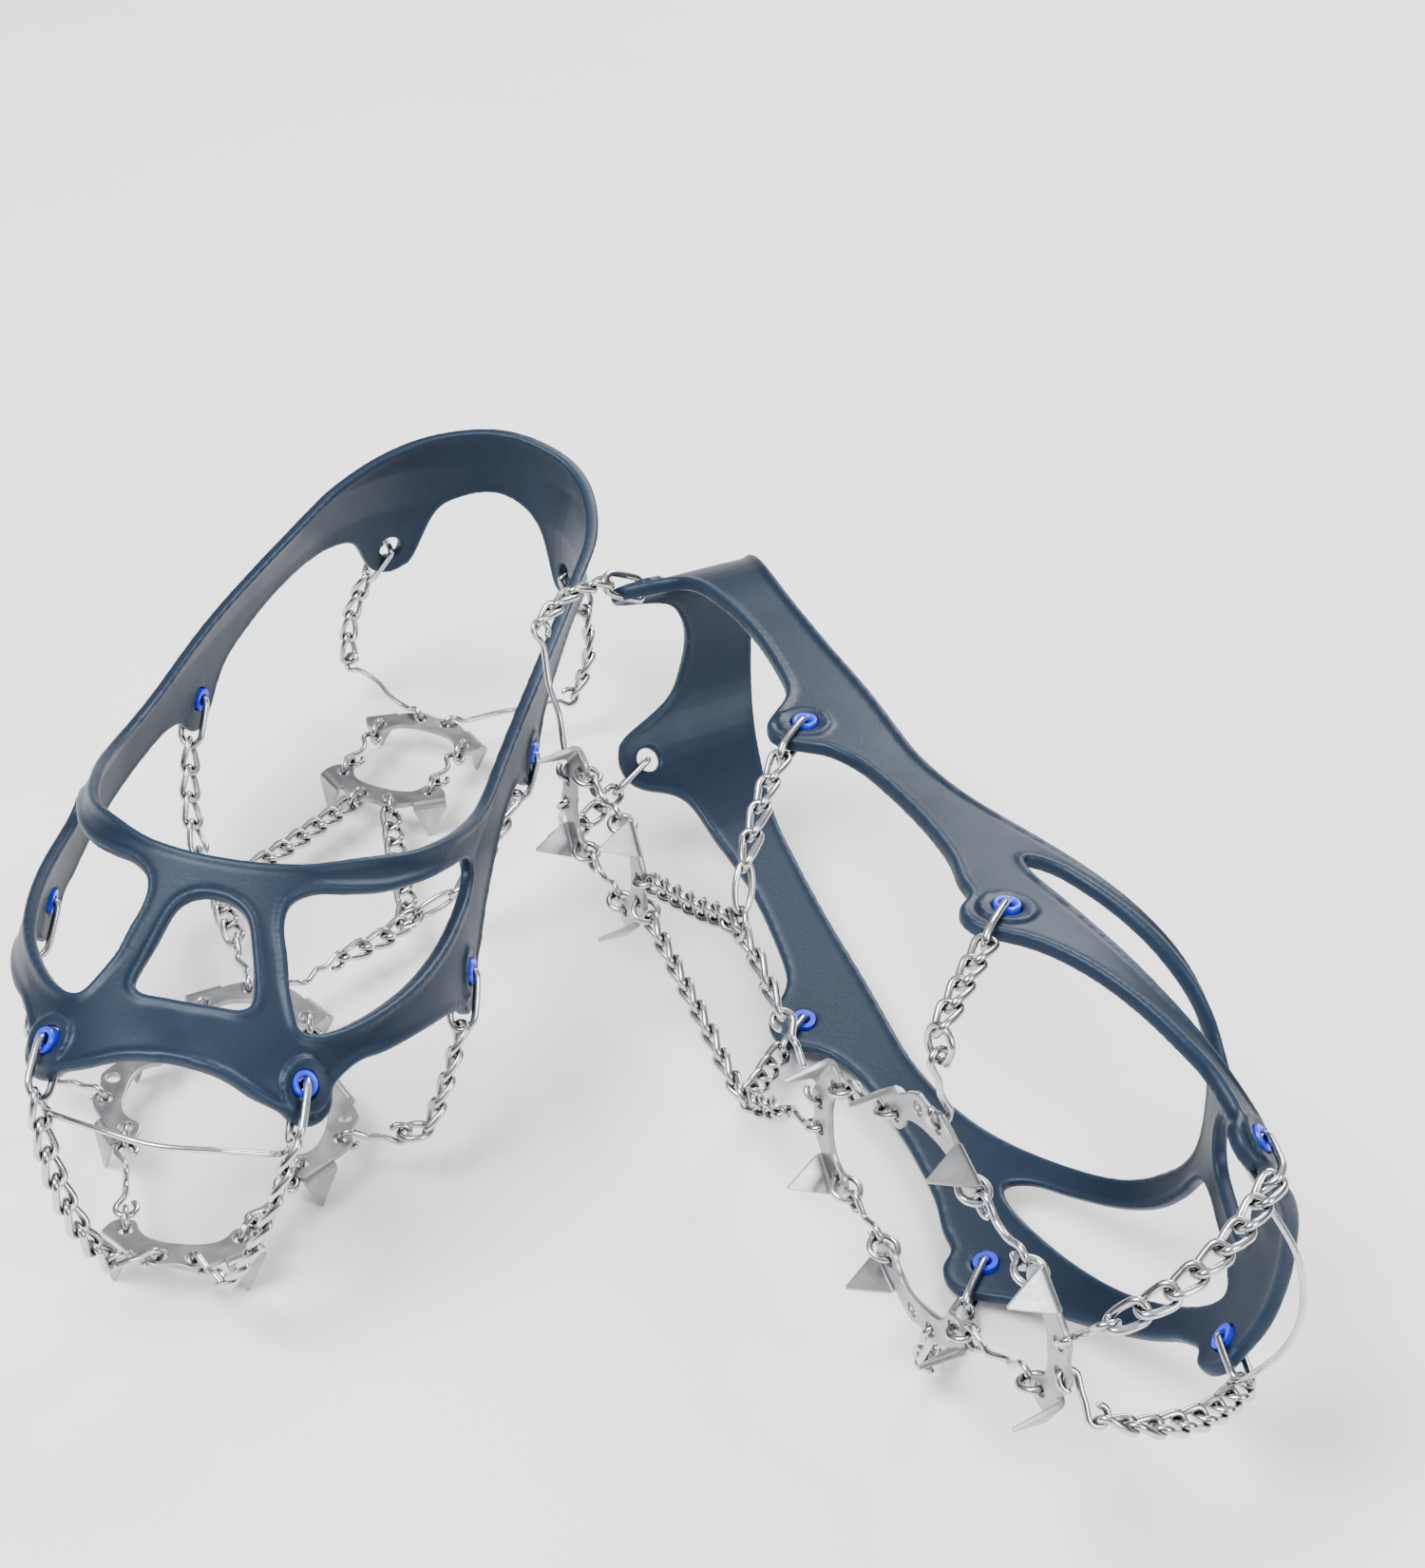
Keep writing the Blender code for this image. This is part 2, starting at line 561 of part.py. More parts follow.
def build_cleat(prefix, curve, shapes, materials, collection):
    """All the pieces of one cleat, in its own frame. Returns the objects."""
    pieces = []

    def add(piece, material, smooth=True):
        piece.data.materials.clear()
        piece.data.materials.append(materials[material])
        if smooth and piece.type == "MESH":
            piece.data.shade_smooth()
            piece.data.set_sharp_from_angle(angle=math.radians(35))
        pieces.append(piece)

    add(link_object(prefix + "harness", curved_harness(shapes["harness"], curve), collection), "harness")
    for eyelet in ("toe", "ball", "arch"):
        for side_name, side in SIDES.items():
            bush = link_object(f"{prefix}{eyelet}_bush_{side_name}", shapes["bush"].copy(), collection)
            place, normal = eyelet_frame(eyelet, side, curve)
            bush.matrix_world = (Matrix.Translation(place * MM)
                                 @ normal.to_track_quat("Z", "Y").to_matrix().to_4x4())
            add(bush, "bush")
    for plate in PLATES:
        spiked = link_object(prefix + plate, shapes["plate"].copy(), collection)
        spiked.matrix_world = plate_matrix(plate, curve)
        add(spiked, "plate", smooth=False)
    for side_name, side in SIDES.items():
        ball = f"{side_name}_ball_plate"
        toe_hole = plate_hole("toe_plate", OUTER_HOLE, -side, curve)
        heel_hole = plate_hole("rear_heel_plate", OUTER_HOLE, side, curve)
        ball_hole = plate_hole(ball, OUTER_HOLE, side, curve)
        runs = [("toe", TOE_ROUTE, toe_hole), ("ball", BALL_ROUTE, ball_hole),
                ("arch", ARCH_ROUTE, None), ("heel", HEEL_ROUTE, heel_hole)]
        for eyelet, route, hole in runs:
            name = f"{prefix}{eyelet}_chain_{side_name}"
            add(side_chain(name, eyelet, route, hole, side, curve, collection), "steel")
        add(waist_chain(f"{prefix}waist_chain_{side_name}", side, curve, collection), "steel")
        links = {"rear_link": (("rear_ball_plate", side), (ball, -side)),
                 "front_link": ((ball, side), ("toe_plate", -side)),
                 "heel_link": (("rear_heel_plate", side), ("front_heel_plate", -side))}
        for link_name, ends in links.items():
            start, end = (plate_hole(plate, END_HOLE, hole_side, curve) for plate, hole_side in ends)
            add(plate_link(f"{prefix}{link_name}_{side_name}", start, end, collection), "steel")
    add(toe_wire(prefix + "toe_wire", curve, collection), "steel")
    return pieces


def turn_matrix(turn):
    about_x, about_y, about_z = (math.radians(angle) for angle in turn)
    return (Matrix.Rotation(about_z, 4, "Z") @ Matrix.Rotation(about_y, 4, "Y")
            @ Matrix.Rotation(about_x, 4, "X"))


def world_corners(pieces):
    """The lowest and highest corner of a group of objects."""
    graph = bpy.context.evaluated_depsgraph_get()
    points = []
    for piece in pieces:
        mesh = piece.evaluated_get(graph).to_mesh()
        points += [piece.matrix_world @ vertex.co for vertex in mesh.vertices]
    low = Vector([min(point[axis] for point in points) for axis in range(3)])
    high = Vector([max(point[axis] for point in points) for axis in range(3)])
    return low, high


def put_down(prefix, pieces, turn, place, collection):
    """Turn a cleat with an empty and lower it until it touches the ground."""
    frame = link_object(prefix + "frame", None, collection)
    frame.matrix_world = Matrix.Translation((place[0] * MM, place[1] * MM, 0)) @ turn_matrix(turn)
    for piece in pieces:
        piece.parent = frame
    bpy.context.view_layer.update()
    low, high = world_corners(pieces)
    frame.location.z -= low.z
    bpy.context.view_layer.update()
    return frame


def main():
    for thing in list(bpy.data.objects):
        bpy.data.objects.remove(thing)
    collection = make_collection("ice_cleats")
    workshop = make_collection("workshop")
    materials = {
        "harness": make_material("harness_rubber", (0.035, 0.065, 0.115), 0.0, 0.5),
        "bush": make_material("bush_plastic", (0.01, 0.05, 0.75), 0.0, 0.4),
        "plate": make_material("plate_steel", (0.62, 0.62, 0.63), 1.0, 0.35),
        "steel": make_material("chain_steel", (0.72, 0.72, 0.73), 1.0, 0.18),
    }
    shapes = {"harness": make_harness_mesh(workshop), "bush": make_bush_mesh(workshop),
              "plate": make_plate_mesh(workshop)}
    standing = build_cleat("standing_", -FOOT_CURVE, shapes, materials, collection)
    lying = build_cleat("lying_", FOOT_CURVE, shapes, materials, collection)
    frames = [put_down("standing_", standing, STANDING_TURN, STANDING_PLACE, collection),
              put_down("lying_", lying, LYING_TURN, LYING_PLACE, collection)]
    low, high = world_corners(standing + lying)
    for frame in frames:
        frame.location.x -= (low.x + high.x) / 2
        frame.location.y -= (low.y + high.y) / 2
    bpy.context.view_layer.update()


main()
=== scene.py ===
"""Looks of a pair of ice cleats: moulded rubber harness, curb chains, wire and spiked plates.

Lengths are in millimetres in the frame of each cleat: +X towards the toe, +Y to the wearer's left,
+Z up, with the spike tips at z = 0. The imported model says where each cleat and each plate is.
"""
import json
import math

import bmesh
import bpy
from mathutils import Matrix, Vector


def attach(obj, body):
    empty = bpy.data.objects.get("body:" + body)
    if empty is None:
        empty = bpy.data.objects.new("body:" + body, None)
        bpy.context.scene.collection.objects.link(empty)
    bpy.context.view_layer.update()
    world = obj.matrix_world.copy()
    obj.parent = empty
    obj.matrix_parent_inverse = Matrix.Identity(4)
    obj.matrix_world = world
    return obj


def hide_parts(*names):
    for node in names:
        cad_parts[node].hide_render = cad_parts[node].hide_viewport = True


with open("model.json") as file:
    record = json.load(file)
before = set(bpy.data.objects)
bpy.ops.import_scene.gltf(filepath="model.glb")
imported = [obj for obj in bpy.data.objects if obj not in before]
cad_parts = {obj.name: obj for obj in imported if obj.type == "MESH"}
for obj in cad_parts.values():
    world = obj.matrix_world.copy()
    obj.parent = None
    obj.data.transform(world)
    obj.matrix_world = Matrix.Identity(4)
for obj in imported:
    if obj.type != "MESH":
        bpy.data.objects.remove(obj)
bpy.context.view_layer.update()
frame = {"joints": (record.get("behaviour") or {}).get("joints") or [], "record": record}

MM = 0.001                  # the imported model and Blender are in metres
UP = Vector((0, 0, 1))

# Camera: where the photographer stood, in millimetres and degrees
CAMERA_PLACE = (78.0, -552.0, 472.7)
CAMERA_YAW = 7.2
CAMERA_DOWN = 34.7
CAMERA_ROLL = 5.1
CAMERA_LENS = 60.0

# The boot last that the harness is stretched over, as in the CAD but rounded over its ridge
SOLE_EDGE_Z = 24.0
SECTION_EXPONENT = 2.5
OUTLINE = [(291, 0), (284, 22), (266, 40), (236, 53), (203, 58.5), (165, 57.5),
           (125, 53.5), (85, 49.5), (45, 44), (14, 38), (-7, 24), (-14, 0)]
RIDGE = [(258, 0, 72), (255, 0, 73), (246, 0, 76), (228, 0, 84), (203, 0, 96), (172, 0, 112),
         (142, 12, 130), (100, 28, 148), (55, 32, 154), (25, 27, 154), (4, 15, 154), (-4, 0, 154)]
HEEL_P = 357.0              # distance round OUTLINE from the toe to the heel
RIDGE_FAIRING = 0.25        # share of the half width over which the last is rounded over its ridge
FOOT_CURVE = 11.5           # how far the middle of a cleat is moved sideways
CURVE_START = 20.0
CURVE_LENGTH = 250.0
OUTER_SIDE_SHARE = 0.86     # how wide the foot's outer side is there, beside its inner side
INSTEP_LEAN = 3.0           # the standing cleat sits this far askew over the instep
LEAN_START_Z = 66.0
LEAN_RISE = 14.0
LAST_MIDDLE_Z = 70.0        # the links of a side chain face away from the middle of the boot
REAR_HEEL_PLATE = (33.0, 0.0, 11.1)     # its middle on a straight cleat

# Harness; a pattern point is (distance round OUTLINE, degrees up the side)
EYELETS = {"toe": (47.5, 46.0), "ball": (127.0, 13.0), "arch": (225.0, 8.5), "heel": (326.0, 8.5)}
SLAB_BASE = 0.35            # the slab's inner face above the last
SLAB_THICKNESS = 2.9
WALL_MIDDLE = 1.75          # the middle of the rubber wall above the last
LOBE_RADIUS = {"toe": 8.6, "ball": 10.4, "arch": 9.4, "heel": 8.6}
BOSS_RADIUS = 6.7
BOSS_TOP = 4.3
EYELET_HOLE_RADIUS = 3.5
RIMS = [(1.25, 1.2, 2.75), (1.15, 0.95, 1.15)]    # radius, inset and height: outer rim, inner edge
STRIP = 4.0                 # the flat pattern is cut this fine before it is bent, in mm and degrees
HARNESS_VOXEL = 0.6

# Bushes
BUSH_PROFILE = [(3.2, 3.6), (3.25, 4.2), (3.0, 4.6), (2.5, 4.7), (1.9, 4.4), (1.65, 3.9), (1.65, 0.2),
                (1.8, -0.4), (3.25, -0.4)]

# Plates
PLATE_THICKNESS = 1.6
PLATE_BEVEL = 0.22
OUTER_HOLE = (-2.4, 4.0)
END_HOLE = (5.4, 14.0)
HOLE_RADIUS = 1.85
PLATE_HALF_OUTLINE = [(2.0, 0.0), (2.3, 4.6), (3.6, 8.6), (5.6, 10.6), (8.0, 11.8), (9.0, 13.8),
                      (8.8, 16.2), (7.4, 18.2), (4.6, 19.7), (-1.8, 11.3), (-3.4, 9.4), (-4.7, 7.2),
                      (-5.8, 4.6), (-5.4, 2.6), (-5.0, 0.8)]
PLATE_CORNER = 9            # which of its points ends the straight edge that the spike is bent from
PLATE_SPACING = 0.8         # between the points of the smoothed outline
SPIKE_ROOT = ((3.2, 20.4), (-2.9, 12.3))
SPIKE_LENGTH = 10.3
SPIKE_TIP_WIDTH = 1.5
SPIKE_BEND_RADIUS = 1.5
SPIKE_SHOULDER = 0.93       # share of a spike's length from which its tip is rounded off

# Chains and wire
CHAIN_PITCH = 7.5
CHAIN_WIRE = 0.95           # radius
LINK_HALF_WIDTH = 2.5       # to the middle of the wire
LINK_TWIST = 1.05
BAIL_WIRE = 1.0
BAIL_OUTSIDE = 3.5          # its two legs, from the middle of the rubber wall
BAIL_INSIDE = 3.1
HOOK_WIRE = 0.85
HOOK_EYE = 2.6
PLATE_RING = (7.0, 6.8)     # length and width
TOE_WIRE = 0.75
RING_WIRE = 0.85
SIDE_WIRE_BOW = 0.9         # how far the S of a hooked wire strays from a straight line
WAIST_WIRE_BOW = 1.0
PLATE_WIRE_BOW = 0.8
ARCH_LINK = (13.0, 4.4)     # length and width of the long link in an arch chain
ARCH_RING = (7.6, 6.4)
ARCH_RING_REACH = 10.6      # from the last curb link to the ring at the waist chain
BALL_RING = (8.2, 7.4)

# Studio, in metres and watts: each light's name, place, width and power
FLOOR_HALF_SIZE = 6.0
FLOOR_DROP = 0.0004         # the floor is this far below the spike tips, under the lowest wire
LIGHT_TARGET = (0.0, 0.0, 0.04)
LIGHTS = [("key", (-0.7, -0.5, 1.4), 0.9, 50.0), ("fill", (1.2, -0.8, 0.9), 0.8, 21.0),
          ("back", (0.3, 1.3, 1.1), 0.9, 28.0)]
# The sky's colour from the horizon (0) to straight up (1), its two ends first: pale, with a dark band
# between that the steel mirrors
WORLD_STOPS = [(0.0, (0.5, 0.5, 0.5)), (1.0, (1.0, 1.0, 1.0)), (0.14, (0.5, 0.5, 0.5)),
               (0.24, (0.03, 0.032, 0.036)), (0.36, (0.04, 0.042, 0.046)), (0.5, (0.62, 0.62, 0.63))]

# Routes of the left side's chains, in the cleat's frame before the foot's curve
ROUTES = {
    "toe": [(276, 31, 60), (283, 26.5, 45), (285, 20, 28), (281.5, 14.5, 16)],
    "ball": [(200.2, 60.6, 36.5), (206, 59, 28.5), (211.5, 57, 21), (216.5, 54.5, 14.2)],
    "arch": [(101, 51.8, 39.5), (106, 50, 33.5), (113.5, 47, 26), (119.5, 43, 20), (122.5, 40.5, 17.3)],
    "heel": [(-3, 36, 41), (2, 39.5, 27), (8, 37.5, 15)],
}
WAIST_KNOT = (131.0, 29.0, 11.1)
TOE_WIRE_END = (279.0, 26.5, 57.0)
TOE_WIRE_MIDDLE = (287.5, 0.0, 62.0)

SIDES = {"left": 1, "right": -1}
CLEATS = {"standing_": -FOOT_CURVE, "lying_": FOOT_CURVE}


# ---------------------------------------------------------------- the last

def spline_point(knots, t):
    """A Catmull-Rom point; the knots are mirrored in y past both ends."""
    def knot(index):
        if index < 0 or index >= len(knots):
            inside = -index if index < 0 else 2 * len(knots) - 2 - index
            beyond = list(knots[inside])
            beyond[1] = -beyond[1]
            return Vector(beyond)
        return Vector(knots[index])

    index = min(int(t), len(knots) - 2)
    return catmull(*(knot(index + step) for step in (-1, 0, 1, 2)), t - index)


def catmull(a, b, c, d, u):
    return 0.5 * (2 * b + (c - a) * u + (2 * a - 5 * b + 4 * c - d) * u ** 2
                  + (3 * b - a - 3 * c + d) * u ** 3)


def outline_table(steps=600):
    """Distance round the outline at evenly spaced spline parameters, scaled to end at HEEL_P."""
    parameters = [(len(OUTLINE) - 1) * step / steps for step in range(steps + 1)]
    points = [spline_point(OUTLINE, t) for t in parameters]
    distances = [0.0]
    for before, after in zip(points, points[1:]):
        distances.append(distances[-1] + (after - before).length)
    scale = HEEL_P / distances[-1]
    return parameters, [distance * scale for distance in distances]


PARAMETERS, DISTANCES = outline_table()


def outline_parameter(p):
    """The spline parameter at distance p round the outline."""
    low, high = 0, len(DISTANCES) - 1
    while high - low > 1:
        middle = (low + high) // 2
        if DISTANCES[middle] <= p:
            low = middle
        else:
            high = middle
    share = (p - DISTANCES[low]) / (DISTANCES[high] - DISTANCES[low])
    return PARAMETERS[low] + share * (PARAMETERS[high] - PARAMETERS[low])


def last_point(p, theta):
    """A point on the last, p mm round from the toe and theta degrees up the side."""
    t = outline_parameter(min(max(p, 0.0), HEEL_P))
    edge = spline_point(OUTLINE, t)
    top = spline_point(RIDGE, t)
    angle = math.radians(min(max(theta, 0.0), 90.0))
    inward = max(math.cos(angle), 0.0) ** (2 / SECTION_EXPONENT)
    upward = max(math.sin(angle), 0.0) ** (2 / SECTION_EXPONENT)
    y = top.y + (edge.y - top.y) * inward
    forward = inward
    if inward < RIDGE_FAIRING:
        forward = (RIDGE_FAIRING + inward ** 2 / RIDGE_FAIRING) / 2
    return Vector((top.x + (edge.x - top.x) * forward,
                   0.0 if abs(y) < 1e-6 else y,
                   SOLE_EDGE_Z + (top.z - SOLE_EDGE_Z) * upward))


def last_steps(p, theta, step=0.5):
    """How the last runs at a point: the vectors of 1 mm of p and of 1 degree of theta."""
    p = min(max(p, step), HEEL_P - step)
    theta = min(max(theta, step), 90 - step)
    along = (last_point(p + step, theta) - last_point(p - step, theta)) / (2 * step)
    up = (last_point(p, theta + step) - last_point(p, theta - step)) / (2 * step)
    return along, up


def last_normal(p, theta):
    along, up = last_steps(p, theta)
    return along.cross(up).normalized()


def curve_slope(x, curve):
    """How much the foot's curve moves a place sideways for 1 mm of x."""
    return curve * math.pi / CURVE_LENGTH * math.cos(math.pi * (x - CURVE_START) / CURVE_LENGTH)


def curved(place, curve):
    """A place on a straight cleat, moved to where it is on the curved one."""
    x, y, z = place
    bulge = math.sin(math.pi * (x - CURVE_START) / CURVE_LENGTH)
    narrowing = (1 - OUTER_SIDE_SHARE) * max(bulge, 0.0) if y * curve > 0 else 0.0
    askew = min(max((z - LEAN_START_Z) / LEAN_RISE, 0.0), 1.0) if curve < 0 else 0.0
    return Vector((x, y * (1 - narrowing) + curve * bulge + INSTEP_LEAN * askew, z))


def mirrored(place, side):
    return Vector((place[0], place[1] * side, place[2]))


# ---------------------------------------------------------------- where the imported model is

JOINTS = {joint["name"]: joint for joint in frame["joints"]}
MOUNTS = {mount["name"]: mount for mount in frame["record"]["mounts"]}


def plate_world(prefix, plate):
    """A plate's place: origin mid-thickness at its centre, +X to its hollow side, in metres."""
    joint = JOINTS[f"{prefix}{plate}_tilt"]
    up = Vector(MOUNTS[prefix + "sole_rest_heel"]["axis"]).normalized()
    along = Vector(joint["axis"]).normalized()
    turn = Matrix((along.cross(up), along, up)).transposed().to_4x4()
    return Matrix.Translation(joint["pos_m"]) @ turn


def cleat_world(prefix):
    """A cleat's frame in the row's frame, worked out from its rear heel plate."""
    curve = CLEATS[prefix]
    local = (Matrix.Translation(curved(REAR_HEEL_PLATE, curve) * MM)
             @ Matrix.Rotation(math.atan(curve_slope(REAR_HEEL_PLATE[0], curve)), 4, "Z"))
    return plate_world(prefix, "rear_heel_plate") @ local.inverted()


# ---------------------------------------------------------------- meshes

class Shape:
    """Vertices in millimetres and faces of one piece, added part by part."""

    def __init__(self):
        self.vertices = []
        self.faces = []

    def add(self, vertices, faces):
        first = len(self.vertices)
        self.vertices += [Vector(vertex) for vertex in vertices]
        self.faces += [[index + first for index in face] for face in faces]

    def wire(self, path, radius, closed=False, sides=10):
        """A round wire along a path, with rounded ends unless it is closed."""
        count = len(path)
        tangents = []
        for index in range(count):
            before = path[index - 1] if closed or index > 0 else path[index]
            after = path[(index + 1) % count] if closed or index < count - 1 else path[index]
            tangents.append((after - before).normalized())
        across = tangents[0].orthogonal().normalized()
        frames = []
        for tangent in tangents:
            across = (across - tangent * across.dot(tangent)).normalized()
            frames.append((across.copy(), tangent.cross(across)))
        twist = 0.0
        if closed:
            first, second = frames[0]
            returned = (across - tangents[0] * across.dot(tangents[0])).normalized()
            twist = math.atan2(returned.dot(second), returned.dot(first))
        rings = []
        for index, (place, (u, v)) in enumerate(zip(path, frames)):
            turn = -twist * index / count
            rings.append([place + (u * math.cos(turn + 2 * math.pi * step / sides)
                                   + v * math.sin(turn + 2 * math.pi * step / sides)) * radius
                          for step in range(sides)])
        if not closed:
            for end, tangent, place in ((0, -tangents[0], path[0]), (-1, tangents[-1], path[-1])):
                tip = [place + (vertex - place) * 0.55 + tangent * (radius * 0.55)
                       for vertex in rings[end]]
                if end == 0:
                    rings.insert(0, tip)
                else:
                    rings.append(tip)
        vertices = [vertex for ring in rings for vertex in ring]
        faces = []
        steps = len(rings) if closed else len(rings) - 1
        for ring in range(steps):
            following = (ring + 1) % len(rings)
            for step in range(sides):
                beside = (step + 1) % sides
                faces.append((ring * sides + step, ring * sides + beside,
                              following * sides + beside, following * sides + step))
        if not closed:
            faces.append(list(reversed(range(sides))))
            faces.append(list(range((len(rings) - 1) * sides, len(rings) * sides)))
        self.add(vertices, faces)


def mesh_object(name, shape, material, place, angle=40):
    """A shape in millimetres as an object in the cleat's frame."""
    mesh = bpy.data.meshes.new(name)
    mesh.from_pydata([vertex * MM for vertex in shape.vertices], [], shape.faces)
    mesh.validate()
    return finished_object(name, mesh, material, place, angle)


def finished_object(name, mesh, material, place, angle=40):
    mesh.materials.clear()
    mesh.materials.append(material)
    mesh.shade_smooth()
    if angle is not None:
        mesh.set_sharp_from_angle(angle=math.radians(angle))
    piece = bpy.data.objects.new(name, mesh)
    bpy.context.scene.collection.objects.link(piece)
    piece.matrix_world = place
    return piece


def evaluated_mesh(thing, name):
    """The evaluated mesh of a helper object; the helper is removed."""
    bpy.context.view_layer.update()
    graph = bpy.context.evaluated_depsgraph_get()
    mesh = bpy.data.meshes.new_from_object(thing.evaluated_get(graph))
    mesh.name = name
    bpy.data.objects.remove(thing)
    return mesh


def helper_object(name, data):
    thing = bpy.data.objects.new(name, data)
    bpy.context.scene.collection.objects.link(thing)
    return thing


def flat_mesh(name, loops, half_thickness, bevel=0.0):
    """The mesh of a filled 2D curve: the first loop is the outside, the others are holes (metres)."""
    curve = bpy.data.curves.new(name, "CURVE")
    curve.dimensions = "2D"
    curve.fill_mode = "BOTH"
    curve.extrude = half_thickness - bevel
    curve.bevel_depth = bevel
    curve.bevel_resolution = 1
    curve.offset = -bevel
    for loop in loops:
        spline = curve.splines.new("POLY")
        spline.points.add(len(loop) - 1)
        for point, (x, y) in zip(spline.points, loop):
            point.co = (x, y, 0.0, 1.0)
        spline.use_cyclic_u = True
    return evaluated_mesh(helper_object(name, curve), name)


def smooth_path(knots, spacing, closed=False):
    """Points at about even distances on a smooth curve through the knots."""
    knots = [Vector(knot) for knot in knots]
    count = len(knots)
    points = []
    for index in range(count if closed else count - 1):
        if closed:
            four = [knots[(index + step) % count] for step in (-1, 0, 1, 2)]
        else:
            before = knots[index - 1] if index > 0 else 2 * knots[0] - knots[1]
            after = knots[index + 2] if index + 2 < count else 2 * knots[-1] - knots[-2]
            four = [before, knots[index], knots[index + 1], after]
        steps = max(2, math.ceil((four[2] - four[1]).length / spacing))
        points += [catmull(*four, step / steps) for step in range(steps)]
    if not closed:
        points.append(knots[-1])
    return points


def even_points(path, count):
    """count + 1 points at even distances along a path."""
    lengths = [0.0]
    for before, after in zip(path, path[1:]):
        lengths.append(lengths[-1] + (after - before).length)
    result = []
    index = 0
    for step in range(count + 1):
        target = lengths[-1] * step / count
        while index < len(lengths) - 2 and lengths[index + 1] < target:
            index += 1
        share = (target - lengths[index]) / (lengths[index + 1] - lengths[index])
        result.append(path[index].lerp(path[index + 1], share))
    return result, lengths[-1]


# ---------------------------------------------------------------- harness

def lobe_arc(eyelet, radius, start, end, count):
    """Pattern points on an arc round an eyelet; 0 degrees is towards the heel and 90 is up."""
    p, theta = EYELETS[eyelet]
    along, up = last_steps(p, theta)
    points = []
    for index in range(count):
        angle = math.radians(start + (end - start) * index / max(count - 1, 1))
        points.append((p + radius * math.cos(angle) / along.length,
                       theta + radius * math.sin(angle) / up.length))
    return points


def smooth_pattern(points, start_mirror, end_mirror, spacing=2.0):
    """A smooth open line through pattern points; the mirrors say how it goes on past its ends."""
    knots = [Vector((*point, 0.0)) for point in points]
    before = Vector((*start_mirror(points[1]), 0.0))
    after = Vector((*end_mirror(points[-2]), 0.0))
    knots = [before] + knots + [after]
    line = []
    for index in range(1, len(knots) - 2):
        four = knots[index - 1:index + 3]
        steps = max(2, math.ceil((four[2] - four[1]).length / spacing))
        line += [catmull(*four, step / steps).xy for step in range(steps)]
    line.append(knots[-2].xy)
    return line


def past_toe(point):
    return (-point[0], point[1])


def past_heel(point):
    return (2 * HEEL_P - point[0], point[1])


def past_top(point):
    return (point[0], 180.0 - point[1])


def lower_edge():
    """The harness's lower edge, from the toe to the heel, in the pattern."""
    toe = [(0, 73.5), (9, 72), (18.5, 67.5), (25.5, 61), (31, 53)]
    toe_to_ball = [(66, 37.5), (76, 32), (90, 25), (103, 18.5), (112, 13.5)]
    ball_to_arch = [(143, 10), (155, 11.8), (175, 12.3), (198, 11.2), (211, 9)]
    arch_to_heel = [(241, 9.5), (256, 11), (275, 12), (295, 12), (312, 11)]
    heel = [(340, 13), (348, 15.5), (HEEL_P, 16.5)]
    knots = (toe + lobe_arc("toe", LOBE_RADIUS["toe"], 190, 325, 6) + toe_to_ball
             + lobe_arc("ball", LOBE_RADIUS["ball"], 210, 330, 5) + ball_to_arch
             + lobe_arc("arch", LOBE_RADIUS["arch"], 210, 330, 5) + arch_to_heel
             + lobe_arc("heel", LOBE_RADIUS["heel"], 210, 330, 5) + heel)
    return smooth_pattern(knots, past_toe, past_heel)


def upper_edge():
    """The upper edge, from the heel over the side arm and the strap to the middle of the instep."""
    side_arm = [(HEEL_P, 27), (340, 26), (319, 23.5), (293, 20.5), (265, 19), (242, 18.5), (215, 18.7),
                (196, 19.5), (176, 22.5), (158, 28.5)]
    strap = [(140, 38), (124, 49.5), (111.5, 63), (102, 76), (98, 90)]
    return smooth_pattern(side_arm + strap, past_heel, past_top)


def middle_window():
    """The left half of the instep window, from its rear edge round to its front edge."""
    knots = [(85, 90), (84.2, 87.6), (82.2, 85.2), (78.5, 83.2), (70, 80.8), (61, 78), (54.5, 75.6),
             (50, 75), (45.5, 77.5), (43.3, 80), (41.6, 82), (40.1, 84), (38.7, 86), (37.6, 88), (37, 90)]
    return smooth_pattern(knots, past_top, past_top)


def side_window():
    knots = [(56.5, 60), (58.5, 55), (64, 50.5), (70.5, 46.5), (82, 40.5), (96, 34.2), (112, 28.8),
             (128, 24.8), (140, 22.8), (146.5, 23.8), (142.5, 29), (132, 35.5), (119, 44.5), (108, 54),
             (101, 63), (96, 71), (90, 75.5), (82, 75.4), (73, 72), (64, 67.8)]
    return [point.xy for point in smooth_path([(*knot, 0.0) for knot in knots], 2.0, closed=True)]


def rim_path(line, inward_sign, inset, height, closed):
    """The middle of a rounded rim beside a pattern line, for the left half of the harness."""
    points = [last_point(p, theta) for p, theta in line]
    count = len(points)
    path = []
    for index, (p, theta) in enumerate(line):
        before, after = points[index - 1], points[(index + 1) % count]
        normal = last_normal(p, theta)
        if not closed and index in (0, count - 1):
            before = mirrored(after, -1) if index == 0 else before
            after = after if index == 0 else mirrored(before, -1)
            normal = Vector((normal.x, 0.0, normal.z)).normalized()
        inward = normal.cross((after - before).normalized()).normalized() * inward_sign
        path.append(points[index] + inward * inset + normal * height)
    return path


def whole_loop(half):
    """A half line on the left, closed with its mirror image on the right."""
    start, end = half[0], half[-1]
    half = [Vector((start.x, 0.0, start.z))] + half[1:-1] + [Vector((end.x, 0.0, end.z))]
    return half + [mirrored(point, -1) for point in reversed(half[1:-1])]


